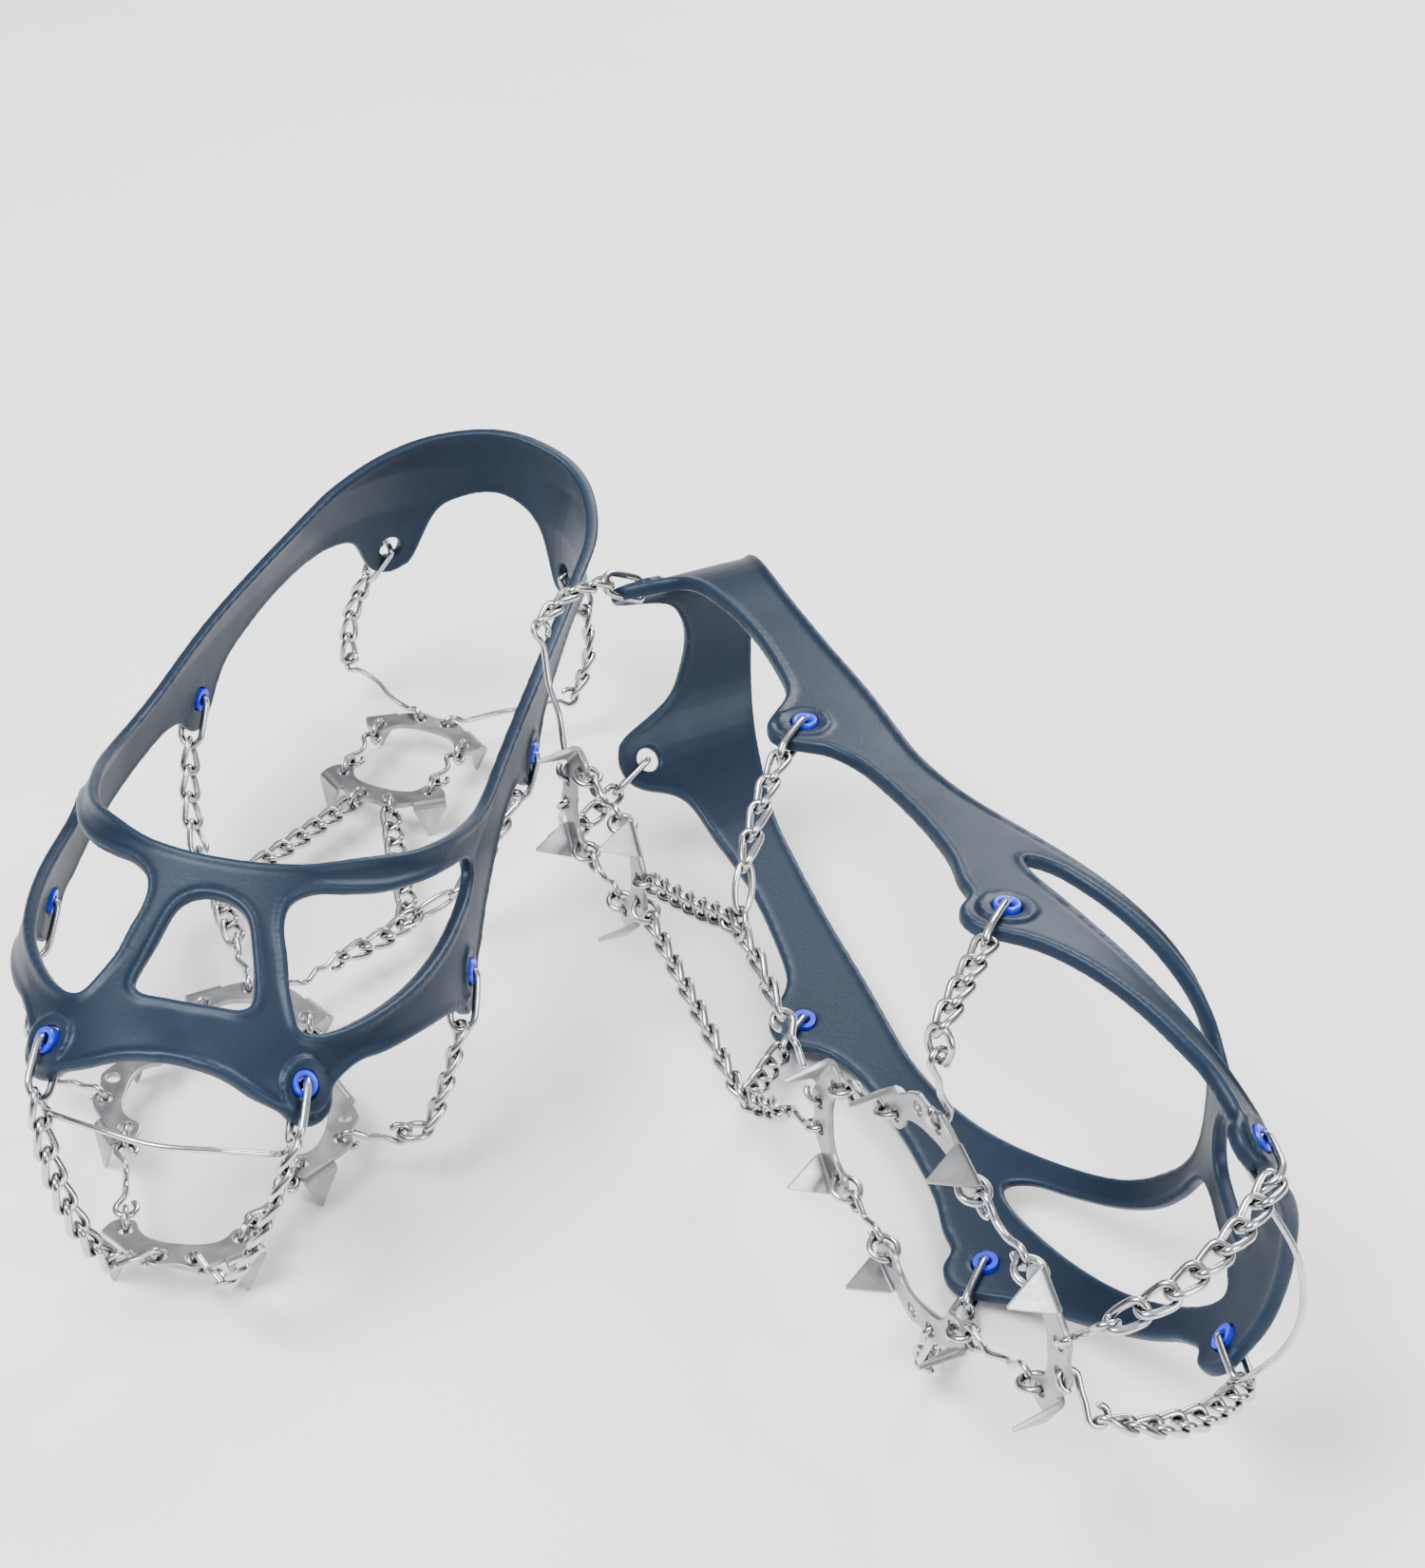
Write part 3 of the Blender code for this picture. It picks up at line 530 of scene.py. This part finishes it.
def harness_pattern():
    """The flat pattern of the left half, cut fine, with (p, theta) / 1000 as its x and y."""
    outside = lower_edge() + upper_edge() + middle_window() + [(0, 90)]
    holes = [lobe_arc(name, EYELET_HOLE_RADIUS, 0, 345, 24) for name in EYELETS]
    loops = [[(p * MM, t * MM) for p, t in loop] for loop in [outside, side_window()] + holes]
    pattern = bmesh.new()
    pattern.from_mesh(flat_mesh("pattern", loops, 0.0))
    cuts = [(step * STRIP * MM, (1, 0, 0)) for step in range(1, int(HEEL_P / STRIP) + 1)]
    cuts += [(step * STRIP * MM, (0, 1, 0)) for step in range(1, int(90 / STRIP) + 1)]
    for distance, normal in cuts:
        geometry = pattern.verts[:] + pattern.edges[:] + pattern.faces[:]
        bmesh.ops.bisect_plane(pattern, geom=geometry, dist=1e-7,
                               plane_co=Vector(normal) * distance, plane_no=normal)
    bmesh.ops.triangulate(pattern, faces=pattern.faces[:])
    bmesh.ops.remove_doubles(pattern, verts=pattern.verts, dist=0.02 * MM)
    pattern.verts.index_update()
    return pattern


def add_slab(shape, pattern, side):
    """The pattern bent on to one side of the last and thickened; open where the two sides meet."""
    inner, outer = [], []
    for vertex in pattern.verts:
        p, theta = vertex.co.x / MM, vertex.co.y / MM
        place = last_point(p, theta)
        normal = last_normal(p, theta)
        if theta > 89.9 or p < 0.1 or p > HEEL_P - 0.1:
            place.y = normal.y = 0.0
            normal.normalize()
        inner.append(mirrored(place + normal * SLAB_BASE, side))
        outer.append(mirrored(place + normal * (SLAB_BASE + SLAB_THICKNESS), side))
    faces = []
    for face in pattern.faces:
        corners = [vertex.index for vertex in face.verts]
        faces += [corners[::-1], [index + len(inner) for index in corners]]
    for edge in pattern.edges:
        start, end = (vertex.index for vertex in edge.verts)
        if edge.is_boundary and (inner[start].y != 0.0 or inner[end].y != 0.0):
            faces.append([start, end, end + len(inner), start + len(inner)])
    shape.add(inner + outer, faces)


def add_boss(shape, eyelet, side):
    """The raised disc round an eyelet, as a turned ring standing in the slab."""
    p, theta = EYELETS[eyelet]
    place = mirrored(last_point(p, theta), side)
    normal = mirrored(last_normal(p, theta), side)
    turn = normal.to_track_quat("Z", "Y").to_matrix()
    profile = [(EYELET_HOLE_RADIUS, 0.5), (BOSS_RADIUS, 0.5), (BOSS_RADIUS, BOSS_TOP - 0.3),
               (BOSS_RADIUS - 0.3, BOSS_TOP), (BOSS_RADIUS - 0.9, BOSS_TOP - 0.45),
               (EYELET_HOLE_RADIUS, BOSS_TOP - 0.45)]
    add_turned(shape, profile, 40, lambda point: place + turn @ point)


def add_turned(shape, profile, steps, put):
    """A closed profile of (radius, height) turned about the axis of its own frame."""
    vertices = []
    for step in range(steps):
        angle = 2 * math.pi * step / steps
        vertices += [put(Vector((r * math.cos(angle), r * math.sin(angle), z))) for r, z in profile]
    faces = []
    size = len(profile)
    for step in range(steps):
        following = (step + 1) % steps
        for index in range(size):
            beside = (index + 1) % size
            faces.append((step * size + index, following * size + index,
                          following * size + beside, step * size + beside))
    shape.add(vertices, faces)


def harness_mesh():
    """The straight harness: slab, rims and bosses fused into one moulded skin."""
    shape = Shape()
    pattern = harness_pattern()
    for side in SIDES.values():
        add_slab(shape, pattern, side)
    pattern.free()
    for radius, inset, height in RIMS:
        for edge in (lower_edge(), upper_edge(), middle_window()):
            shape.wire(whole_loop(rim_path(edge, 1, inset, height, False)), radius, closed=True, sides=12)
        window = rim_path(side_window(), -1, inset, height, True)
        for side in SIDES.values():
            shape.wire([mirrored(point, side) for point in window], radius, closed=True, sides=12)
    for eyelet in EYELETS:
        for side in SIDES.values():
            add_boss(shape, eyelet, side)
    mesh = bpy.data.meshes.new("harness")
    mesh.from_pydata(shape.vertices, [], shape.faces)
    body = helper_object("harness_parts", mesh)
    fuse = body.modifiers.new("fuse", "REMESH")
    fuse.mode = "VOXEL"
    fuse.voxel_size = HARNESS_VOXEL
    soften = body.modifiers.new("soften", "SMOOTH")
    soften.factor = 0.5
    soften.iterations = 8
    return evaluated_mesh(body, "harness")


# ---------------------------------------------------------------- bushes and plates

def bush_shape():
    shape = Shape()
    add_turned(shape, BUSH_PROFILE, 36, lambda point: point)
    return shape


def eyelet_frame(eyelet, side, curve):
    """The centre of an eyelet on the last and the outward normal there."""
    p, theta = EYELETS[eyelet]
    place = mirrored(last_point(p, theta), side)
    normal = mirrored(last_normal(p, theta), side)
    normal.x -= curve_slope(place.x, curve) * normal.y
    return curved(place, curve), normal.normalized()


def add_spike(shape, side):
    """A spike bent down from a corner of a plate: flat across, narrowing to a blunt tip."""
    root_a, root_b = (Vector((x, y * side, 0)) for x, y in SPIKE_ROOT)
    along = (root_b - root_a).normalized()
    outward = Vector((-along.y, along.x, 0))
    if outward.dot(root_a + root_b) < 0:
        outward = -outward
    centre = (root_a + root_b) / 2
    half_root = (root_b - root_a).length / 2
    half = PLATE_THICKNESS / 2
    bend = SPIKE_BEND_RADIUS
    stations = [(-bend - 0.8, 0.0, 0.0), (-bend - 0.25, 0.0, 0.0)]
    stations += [(-bend + bend * math.sin(a), -bend + bend * math.cos(a), a)
                 for a in (math.radians(15 * step) for step in range(7))]
    drop = SPIKE_LENGTH + half - bend
    stations += [(0.0, -bend - drop * share, math.pi / 2)
                 for share in (0.25, 0.5, 0.75, SPIKE_SHOULDER, 1.0)]
    rows = []
    for out, down, angle in stations:
        share = max(0.0, (-down - bend) / drop)
        width = half_root + (SPIKE_TIP_WIDTH / 2 - half_root) * min(share / SPIKE_SHOULDER, 1.0)
        if share > 0.99:
            width *= 0.55
        thickness = half * (1.0 - 0.35 * share if rows else 0.8)
        normal = outward * math.sin(angle) + Vector((0, 0, math.cos(angle)))
        middle = centre + outward * out + Vector((0, 0, down))
        corner = min(0.2, width * 0.3)
        rows.append([middle + along * x + normal * z for x, z in (
            (-width, -thickness + corner), (-width, thickness - corner), (-width + corner, thickness),
            (width - corner, thickness), (width, thickness - corner), (width, -thickness + corner),
            (width - corner, -thickness), (-width + corner, -thickness))])
    size = len(rows[0])
    vertices = [vertex for row in rows for vertex in row]
    faces = [(row * size + i, row * size + (i + 1) % size,
              (row + 1) * size + (i + 1) % size, (row + 1) * size + i)
             for row in range(len(rows) - 1) for i in range(size)]
    faces += [list(reversed(range(size))), list(range((len(rows) - 1) * size, len(rows) * size))]
    shape.add(vertices, faces)


def plate_shape():
    """A stamped crescent with two bent spikes, about its own centre."""
    half = [(x, y, 0) for x, y in PLATE_HALF_OUTLINE]
    inner = [mirrored(half[2], -1), mirrored(half[1], -1)] + half[:PLATE_CORNER]
    outer = half[PLATE_CORNER:] + [mirrored(half[-1], -1)]
    inner = [point for point in smooth_path(inner, PLATE_SPACING) if point.y >= -1e-6]
    outer = [point for point in smooth_path(outer, PLATE_SPACING) if point.y > 0]
    right = [(point.x, point.y) for point in inner + outer]
    outline = right + [(x, -y) for x, y in reversed(right) if y > 0.01]
    holes = [[(x + HOLE_RADIUS * math.cos(a), y * side + HOLE_RADIUS * math.sin(a))
              for a in (2 * math.pi * step / 20 for step in range(20))]
             for x, y in (OUTER_HOLE, END_HOLE) for side in (1, -1)]
    loops = [[(x * MM, y * MM) for x, y in loop] for loop in [outline] + holes]
    flat = flat_mesh("plate", loops, PLATE_THICKNESS / 2 * MM, PLATE_BEVEL * MM)
    shape = Shape()
    shape.add([vertex.co / MM for vertex in flat.vertices], [list(face.vertices) for face in flat.polygons])
    for side in SIDES.values():
        add_spike(shape, side)
    return shape


# ---------------------------------------------------------------- chains and wire

def plate_hole(prefix, plate, hole, side, inverse):
    """The centre of one of a plate's link holes in the cleat's frame, in millimetres."""
    local = Vector((hole[0] * MM, hole[1] * side * MM, 0.0))
    return (inverse @ plate_world(prefix, plate) @ local) / MM


def curb_path(pitch, steps=26):
    """One twisted link, along X, whose neighbours lie in its ends."""
    half_length = (pitch + 2 * CHAIN_WIRE) / 2
    path = []
    for step in range(steps):
        a = 2 * math.pi * step / steps
        c, s = math.cos(a), math.sin(a)
        path.append(Vector((half_length * math.copysign(abs(c) ** 0.8, c),
                            LINK_HALF_WIDTH * math.copysign(abs(s) ** 0.7, s),
                            LINK_TWIST * math.sin(2 * a))))
    return path


def add_chain(shape, route, away, pitch=CHAIN_PITCH):
    """Curb links along a route; away gives the direction that a link's flat side faces."""
    path = smooth_path(route, 1.0)
    length = even_points(path, 1)[1]
    count = max(1, round(length / pitch))
    joints = even_points(path, count)[0]
    link = curb_path(length / count)
    for start, end in zip(joints, joints[1:]):
        centre = (start + end) / 2
        x = (end - start).normalized()
        z = away(centre)
        z = (z - x * z.dot(x)).normalized()
        turn = Matrix((x, z.cross(x), z)).transposed()
        shape.wire([centre + turn @ point for point in link], CHAIN_WIRE, closed=True)


def add_ring(shape, start, direction, up, length, width, radius):
    """An oval ring that starts at a point and runs in a direction, in the plane of up."""
    up = (up - direction * up.dot(direction)).normalized()
    path = []
    for step in range(24):
        a = 2 * math.pi * step / 24
        path.append(start + direction * (length / 2 * (1 - math.cos(a))) + up * (width / 2 * math.sin(a)))
    shape.wire(path, radius, closed=True)


def eye_points(place, direction, up, radius):
    """An open wire eye that passes through a place, from its free end to its lead-off."""
    up = (up - direction * up.dot(direction)).normalized()
    centre = place + direction * radius
    points = []
    for degrees in range(-135, 130, 24):
        a = math.radians(degrees)
        points.append(centre - direction * (radius * math.cos(a)) + up * (radius * math.sin(a)))
    points.append(centre + direction * (radius * 1.8) + up * 0.12 * radius)
    return points


def add_hook_wire(shape, start, end, start_up, end_up, bow, radius=HOOK_WIRE):
    """A wire with an open eye at each end and a gentle S between them."""
    direction = (end - start).normalized()
    length = (end - start).length
    eye = min(HOOK_EYE, length * 0.16)
    first = eye_points(start, direction, start_up, eye)
    last = eye_points(end, -direction, end_up, eye)
    middle = []
    if length > 8 * HOOK_EYE:
        across = direction.cross(start_up).normalized()
        middle = [start.lerp(end, 0.4) + across * bow, start.lerp(end, 0.6) - across * bow]
    shape.wire(smooth_path(first + middle + last[::-1], 0.9), radius)


def add_bail(shape, eyelet, side, curve, target):
    """The closed wire loop through an eyelet and round the harness's edge, out to a point."""
    place, normal = eyelet_frame(eyelet, side, curve)
    middle = place + normal * WALL_MIDDLE
    direction = (target - middle).normalized()
    across = (normal - direction * normal.dot(direction)).normalized()
    length = (target - middle).length
    knots = [(0.1, -1.6), (0.1, 1.7), (1.2, BAIL_OUTSIDE), (length * 0.72, BAIL_OUTSIDE),
             (length - 1.3, 2.5), (length, 1.0), (length, -1.0), (length - 1.3, -2.4),
             (length * 0.72, -BAIL_INSIDE), (1.2, -BAIL_INSIDE)]
    path = smooth_path([middle + direction * s + across * w for s, w in knots], 0.8, closed=True)
    shape.wire(path, BAIL_WIRE, closed=True)


# ---------------------------------------------------------------- materials

def node_material(name):
    material = bpy.data.materials.new(name)
    material.use_nodes = True
    tree = material.node_tree
    return material, tree, tree.nodes["Principled BSDF"]


def texture_place(tree, scale=(1, 1, 1)):
    coordinates = tree.nodes.new("ShaderNodeTexCoord")
    mapping = tree.nodes.new("ShaderNodeMapping")
    mapping.inputs["Scale"].default_value = scale
    tree.links.new(coordinates.outputs["Object"], mapping.inputs["Vector"])
    return mapping.outputs["Vector"]


def noise(tree, vector, scale, detail=4.0, roughness=0.5):
    node = tree.nodes.new("ShaderNodeTexNoise")
    node.inputs["Scale"].default_value = scale
    node.inputs["Detail"].default_value = detail
    node.inputs["Roughness"].default_value = roughness
    tree.links.new(vector, node.inputs["Vector"])
    return node.outputs["Fac"]


def ramp(tree, value, stops):
    node = tree.nodes.new("ShaderNodeValToRGB")
    elements = node.color_ramp.elements
    for index, (position, colour) in enumerate(stops):
        element = elements[index] if index < 2 else elements.new(position)
        element.position = position
        element.color = (*colour, 1.0)
    tree.links.new(value, node.inputs["Fac"])
    return node.outputs["Color"]


def span(tree, value, low, high):
    """A value from 0..1 spread over low..high."""
    node = tree.nodes.new("ShaderNodeMapRange")
    node.inputs["To Min"].default_value = low
    node.inputs["To Max"].default_value = high
    tree.links.new(value, node.inputs["Value"])
    return node.outputs["Result"]


def bump(tree, shader, value, strength, distance):
    node = tree.nodes.new("ShaderNodeBump")
    node.inputs["Strength"].default_value = strength
    node.inputs["Distance"].default_value = distance
    tree.links.new(value, node.inputs["Height"])
    tree.links.new(node.outputs["Normal"], shader.inputs["Normal"])


def rubber_material():
    """Dark slate blue elastomer: satin, slightly mottled, with a painted highlight that makes its ridges
    paler.
    """
    material, tree, shader = node_material("harness_rubber_fine")
    place = texture_place(tree)
    cloud = noise(tree, place, 28.0, 5.0, 0.6)
    base = ramp(tree, cloud, [(0.3, (0.0034, 0.0084, 0.0195)), (0.7, (0.0060, 0.0136, 0.0290))])
    geometry = tree.nodes.new("ShaderNodeNewGeometry")
    # Painted highlight: the convex ridges and rim edges, found by their pointiness, are mixed towards a
    # paler blue.
    ridge = ramp(tree, geometry.outputs["Pointiness"], [(0.5, (0, 0, 0)), (0.6, (1, 1, 1))])
    ridge_highlight_mix = tree.nodes.new("ShaderNodeMix")
    ridge_highlight_mix.data_type = "RGBA"
    # The paler blue of the painted highlight on the ridges.
    ridge_highlight_mix.inputs["B"].default_value = (0.017, 0.035, 0.066, 1.0)
    tree.links.new(ridge, ridge_highlight_mix.inputs["Factor"])
    tree.links.new(base, ridge_highlight_mix.inputs["A"])
    tree.links.new(ridge_highlight_mix.outputs["Result"], shader.inputs["Base Color"])
    tree.links.new(span(tree, noise(tree, place, 90.0, 3.0), 0.36, 0.5), shader.inputs["Roughness"])
    shader.inputs["Specular IOR Level"].default_value = 0.3
    shader.inputs["Specular Tint"].default_value = (0.72, 0.85, 1.0, 1.0)
    bump(tree, shader, noise(tree, place, 900.0, 3.0, 0.6), 0.25, 0.0002)
    return material


def bush_material():
    material, tree, shader = node_material("bush_plastic_fine")
    place = texture_place(tree)
    colour = ramp(tree, noise(tree, place, 200.0),
                  [(0.3, (0.002, 0.012, 0.6)), (0.7, (0.004, 0.022, 0.82))])
    tree.links.new(colour, shader.inputs["Base Color"])
    tree.links.new(span(tree, noise(tree, place, 400.0), 0.25, 0.42), shader.inputs["Roughness"])
    shader.inputs["Coat Weight"].default_value = 0.25
    shader.inputs["Coat Roughness"].default_value = 0.2
    bump(tree, shader, noise(tree, place, 1500.0), 0.15, 0.0001)
    return material


def plate_material():
    """Stamped stainless steel: brushed along the plate, with fine scratches and dull patches."""
    material, tree, shader = node_material("plate_steel_fine")
    brushed = noise(tree, texture_place(tree, (900.0, 60.0, 300.0)), 2.0, 3.0, 0.6)
    patches = noise(tree, texture_place(tree), 160.0, 4.0, 0.6)
    steel = ramp(tree, patches, [(0.3, (0.27, 0.275, 0.285)), (0.72, (0.42, 0.425, 0.435))])
    tree.links.new(steel, shader.inputs["Base Color"])
    shader.inputs["Metallic"].default_value = 1.0
    shader.inputs["Anisotropic"].default_value = 0.4
    tree.links.new(span(tree, brushed, 0.26, 0.46), shader.inputs["Roughness"])
    bump(tree, shader, brushed, 0.12, 0.0001)
    return material


def wire_material():
    """Drawn stainless wire, polished, with faint drawing lines and small dull spots, and painted shade
    where the wires nest in each other.
    """
    material, tree, shader = node_material("chain_steel_fine")
    place = texture_place(tree)
    steel = ramp(tree, noise(tree, place, 220.0, 4.0, 0.6),
                 [(0.3, (0.44, 0.445, 0.455)), (0.7, (0.62, 0.625, 0.635))])
    # Painted shade: ambient occlusion darkens the steel's colour where links and wires crowd each other,
    # within 2.2 mm.
    crease_shade = tree.nodes.new("ShaderNodeAmbientOcclusion")
    crease_shade.inputs["Distance"].default_value = 0.0022
    crease_shade.samples = 6
    tree.links.new(steel, crease_shade.inputs["Color"])
    tree.links.new(crease_shade.outputs["Color"], shader.inputs["Base Color"])
    shader.inputs["Metallic"].default_value = 1.0
    tree.links.new(span(tree, noise(tree, place, 700.0, 3.0), 0.12, 0.28), shader.inputs["Roughness"])
    bump(tree, shader, noise(tree, place, 1800.0, 2.0), 0.1, 0.00008)
    return material


def floor_material():
    material, tree, shader = node_material("floor_paper")
    place = texture_place(tree)
    paper = ramp(tree, noise(tree, place, 6.0), [(0.3, (0.88, 0.88, 0.88)), (0.7, (0.9, 0.9, 0.9))])
    tree.links.new(paper, shader.inputs["Base Color"])
    shader.inputs["Roughness"].default_value = 0.9
    return material


MATERIALS = {"harness": rubber_material(), "bush": bush_material(),
             "plate": plate_material(), "steel": wire_material()}


# ---------------------------------------------------------------- putting a cleat together

def declare(piece, body, slot, *nodes):
    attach(piece, body)
    if nodes:
        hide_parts(*nodes)
    return piece


def steel_piece(name, shape, place, body, *nodes):
    return declare(mesh_object(name, shape, MATERIALS["steel"], place), body, "steel", *nodes)


def dress_side_chain(prefix, eyelet, side_name, place, inverse):
    """The bail, the links and the hook wire of one run from the harness to the plates."""
    curve = CLEATS[prefix]
    side = SIDES[side_name]
    node = f"{prefix}{eyelet}_chain_{side_name}"
    route = [curved(mirrored(point, side), curve) for point in ROUTES[eyelet]]

    def away(point):
        return Vector((0.0, point.y, point.z - LAST_MIDDLE_Z))

    first = (route[1] - route[0]).normalized()
    bail = Shape()
    add_bail(bail, eyelet, side, curve, route[0] + first * CHAIN_WIRE)
    steel_piece(node + "_bail", bail, place, node, node)
    links = Shape()
    add_chain(links, route, away)
    steel_piece(node + "_links", links, place, node)
    finish = Shape()
    start = route[-1]
    if eyelet == "arch":
        knot = curved(mirrored(WAIST_KNOT, side), curve)
        direction = (knot - start).normalized()
        add_ring(finish, start - direction * CHAIN_WIRE, direction, UP, *ARCH_LINK, RING_WIRE)
        add_ring(finish, start + direction * ARCH_RING_REACH, direction, direction.cross(UP),
                 *ARCH_RING, RING_WIRE)
    else:
        plate = {"toe": "toe_plate", "heel": "rear_heel_plate", "ball": f"{side_name}_ball_plate"}[eyelet]
        hole_side = -side if eyelet == "toe" else side
        hole = plate_hole(prefix, plate, OUTER_HOLE, hole_side, inverse)
        if eyelet == "ball":
            direction = (hole - start).normalized()
            add_ring(finish, start - direction * CHAIN_WIRE, direction, direction.cross(away(start)),
                     *BALL_RING, CHAIN_WIRE)
            start = start + direction * (BALL_RING[0] - 3 * CHAIN_WIRE)
        add_hook_wire(finish, start - (hole - start).normalized() * HOOK_WIRE, hole,
                      away(start), UP, SIDE_WIRE_BOW)
    steel_piece(node + "_wire", finish, place, node)


def dress_waist_chain(prefix, side_name, place, inverse):
    """The ring, the links round the knot and the wire between two plates on one side."""
    curve = CLEATS[prefix]
    side = SIDES[side_name]
    node = f"{prefix}waist_chain_{side_name}"
    rear = plate_hole(prefix, "front_heel_plate", OUTER_HOLE, -side, inverse)
    front = plate_hole(prefix, "rear_ball_plate", OUTER_HOLE, side, inverse)
    knot = curved(mirrored(WAIST_KNOT, side), curve)
    ring = Shape()
    leave = (knot - rear).normalized()
    add_ring(ring, rear, leave, UP, *PLATE_RING, RING_WIRE)
    steel_piece(node + "_ring", ring, place, node)
    chain = Shape()
    chain_start = rear + leave * (PLATE_RING[0] - CHAIN_WIRE)
    chain_end = knot.lerp(front, 0.5)
    add_chain(chain, [chain_start, rear.lerp(knot, 0.6), knot, chain_end], lambda point: -UP)
    steel_piece(node + "_links", chain, place, node, node)
    wire = Shape()
    wire_start = chain_end - (front - chain_end).normalized() * HOOK_WIRE
    add_hook_wire(wire, wire_start, front, UP, UP, WAIST_WIRE_BOW)
    steel_piece(node + "_wire", wire, place, node)


def dress_plate_link(prefix, name, side_name, ends, place, inverse):
    """Two rings and an S-bent wire between two plates."""
    node = f"{prefix}{name}_{side_name}"
    start, end = (plate_hole(prefix, plate, END_HOLE, side, inverse) for plate, side in ends)
    direction = (end - start).normalized()
    flat = direction.cross(UP)
    for label, origin, heading in (("near", start, direction), ("far", end, -direction)):
        ring = Shape()
        add_ring(ring, origin, heading, UP, *PLATE_RING, RING_WIRE)
        nodes = (node,) if label == "near" else ()
        steel_piece(f"{node}_{label}_ring", ring, place, node, *nodes)
    reach = PLATE_RING[0] - 2 * RING_WIRE
    wire = Shape()
    add_hook_wire(wire, start + direction * reach, end - direction * reach, flat, flat, PLATE_WIRE_BOW)
    steel_piece(f"{node}_wire", wire, place, node)


def dress_toe_wire(prefix, place):
    """The bow round the toe cap, hooked at both ends into the toe chains."""
    curve = CLEATS[prefix]
    node = prefix + "toe_wire"
    x, y, z = TOE_WIRE_END
    mx, my, mz = TOE_WIRE_MIDDLE
    knots = [(x - 2.6, y + 3.4, z + 1.4), (x - 3.0, y + 1.4, z - 1.4), (x - 0.4, y - 0.8, z + 0.2),
             (mx - 2.8, y * 0.52, mz - 0.8), (mx, my, mz)]
    knots += [(kx, -ky, kz) for kx, ky, kz in reversed(knots[:-1])]
    shape = Shape()
    shape.wire(smooth_path([curved(knot, curve) for knot in knots], 1.2), TOE_WIRE)
    steel_piece(node + "_bow", shape, place, node, node)


def dress_cleat(prefix, harness, bush, plate):
    """Every visible piece of one cleat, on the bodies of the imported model."""
    curve = CLEATS[prefix]
    place = cleat_world(prefix)
    inverse = place.inverted()
    skin = harness.copy()
    for vertex in skin.vertices:
        vertex.co = place @ (curved(vertex.co, curve) * MM)
    body = prefix + "harness"
    skin_piece = finished_object(body + "_skin", skin, MATERIALS["harness"], Matrix(), None)
    declare(skin_piece, body, "harness", body)
    for eyelet in ("toe", "ball", "arch"):
        for side_name, side in SIDES.items():
            centre, normal = eyelet_frame(eyelet, side, curve)
            stand = Matrix.Translation(centre * MM) @ normal.to_track_quat("Z", "Y").to_matrix().to_4x4()
            node = f"{prefix}{eyelet}_bush_{side_name}"
            declare(mesh_object(node + "_ring", bush, MATERIALS["bush"], place @ stand), body, "bush", node)
    for name in ("rear_heel_plate", "front_heel_plate", "rear_ball_plate", "toe_plate",
                 "left_ball_plate", "right_ball_plate"):
        node = prefix + name
        declare(mesh_object(node + "_steel", plate, MATERIALS["plate"], plate_world(prefix, name), 30),
                node, "plate", node)
    for side_name, side in SIDES.items():
        for eyelet in ROUTES:
            dress_side_chain(prefix, eyelet, side_name, place, inverse)
        dress_waist_chain(prefix, side_name, place, inverse)
        ball = f"{side_name}_ball_plate"
        links = {"rear_link": (("rear_ball_plate", side), (ball, -side)),
                 "front_link": ((ball, side), ("toe_plate", -side)),
                 "heel_link": (("rear_heel_plate", side), ("front_heel_plate", -side))}
        for link_name, ends in links.items():
            dress_plate_link(prefix, link_name, side_name, ends, place, inverse)
    dress_toe_wire(prefix, place)


# ---------------------------------------------------------------- floor, light and camera

def make_floor():
    mesh = bpy.data.meshes.new("floor")
    corners = [(x * FLOOR_HALF_SIZE, y * FLOOR_HALF_SIZE, 0)
               for x, y in ((-1, -1), (1, -1), (1, 1), (-1, 1))]
    mesh.from_pydata(corners, [], [(0, 1, 2, 3)])
    mesh.materials.append(floor_material())
    floor = bpy.data.objects.new("floor", mesh)
    bpy.context.scene.collection.objects.link(floor)
    floor.location.z = -FLOOR_DROP


def make_light(name, place, size, power):
    data = bpy.data.lights.new(name, "AREA")
    data.shape = "DISK"
    data.size = size
    data.energy = power
    light = bpy.data.objects.new(name, data)
    bpy.context.scene.collection.objects.link(light)
    light.location = place
    light.rotation_euler = (Vector(LIGHT_TARGET) - Vector(place)).to_track_quat("-Z", "Y").to_euler()


def make_studio():
    world = bpy.data.worlds.new("studio")
    bpy.context.scene.world = world
    world.use_nodes = True
    tree = world.node_tree
    background = tree.nodes["Background"]
    direction = tree.nodes.new("ShaderNodeTexCoord")
    split = tree.nodes.new("ShaderNodeSeparateXYZ")
    tree.links.new(direction.outputs["Generated"], split.inputs["Vector"])
    tree.links.new(ramp(tree, split.outputs["Z"], WORLD_STOPS), background.inputs["Color"])
    background.inputs["Strength"].default_value = 1.0
    for light in LIGHTS:
        make_light(*light)


def make_camera():
    data = bpy.data.cameras.new("camera")
    data.lens = CAMERA_LENS
    data.sensor_width = 36.0
    camera = bpy.data.objects.new("camera", data)
    bpy.context.scene.collection.objects.link(camera)
    camera.matrix_world = (Matrix.Translation(Vector(CAMERA_PLACE) * MM)
                           @ Matrix.Rotation(math.radians(CAMERA_YAW), 4, "Z")
                           @ Matrix.Rotation(math.radians(90.0 - CAMERA_DOWN), 4, "X")
                           @ Matrix.Rotation(math.radians(CAMERA_ROLL), 4, "Z"))
    bpy.context.scene.camera = camera


make_camera()
make_floor()
make_studio()
straight_harness = harness_mesh()
for cleat in CLEATS:
    dress_cleat(cleat, straight_harness, bush_shape(), plate_shape())
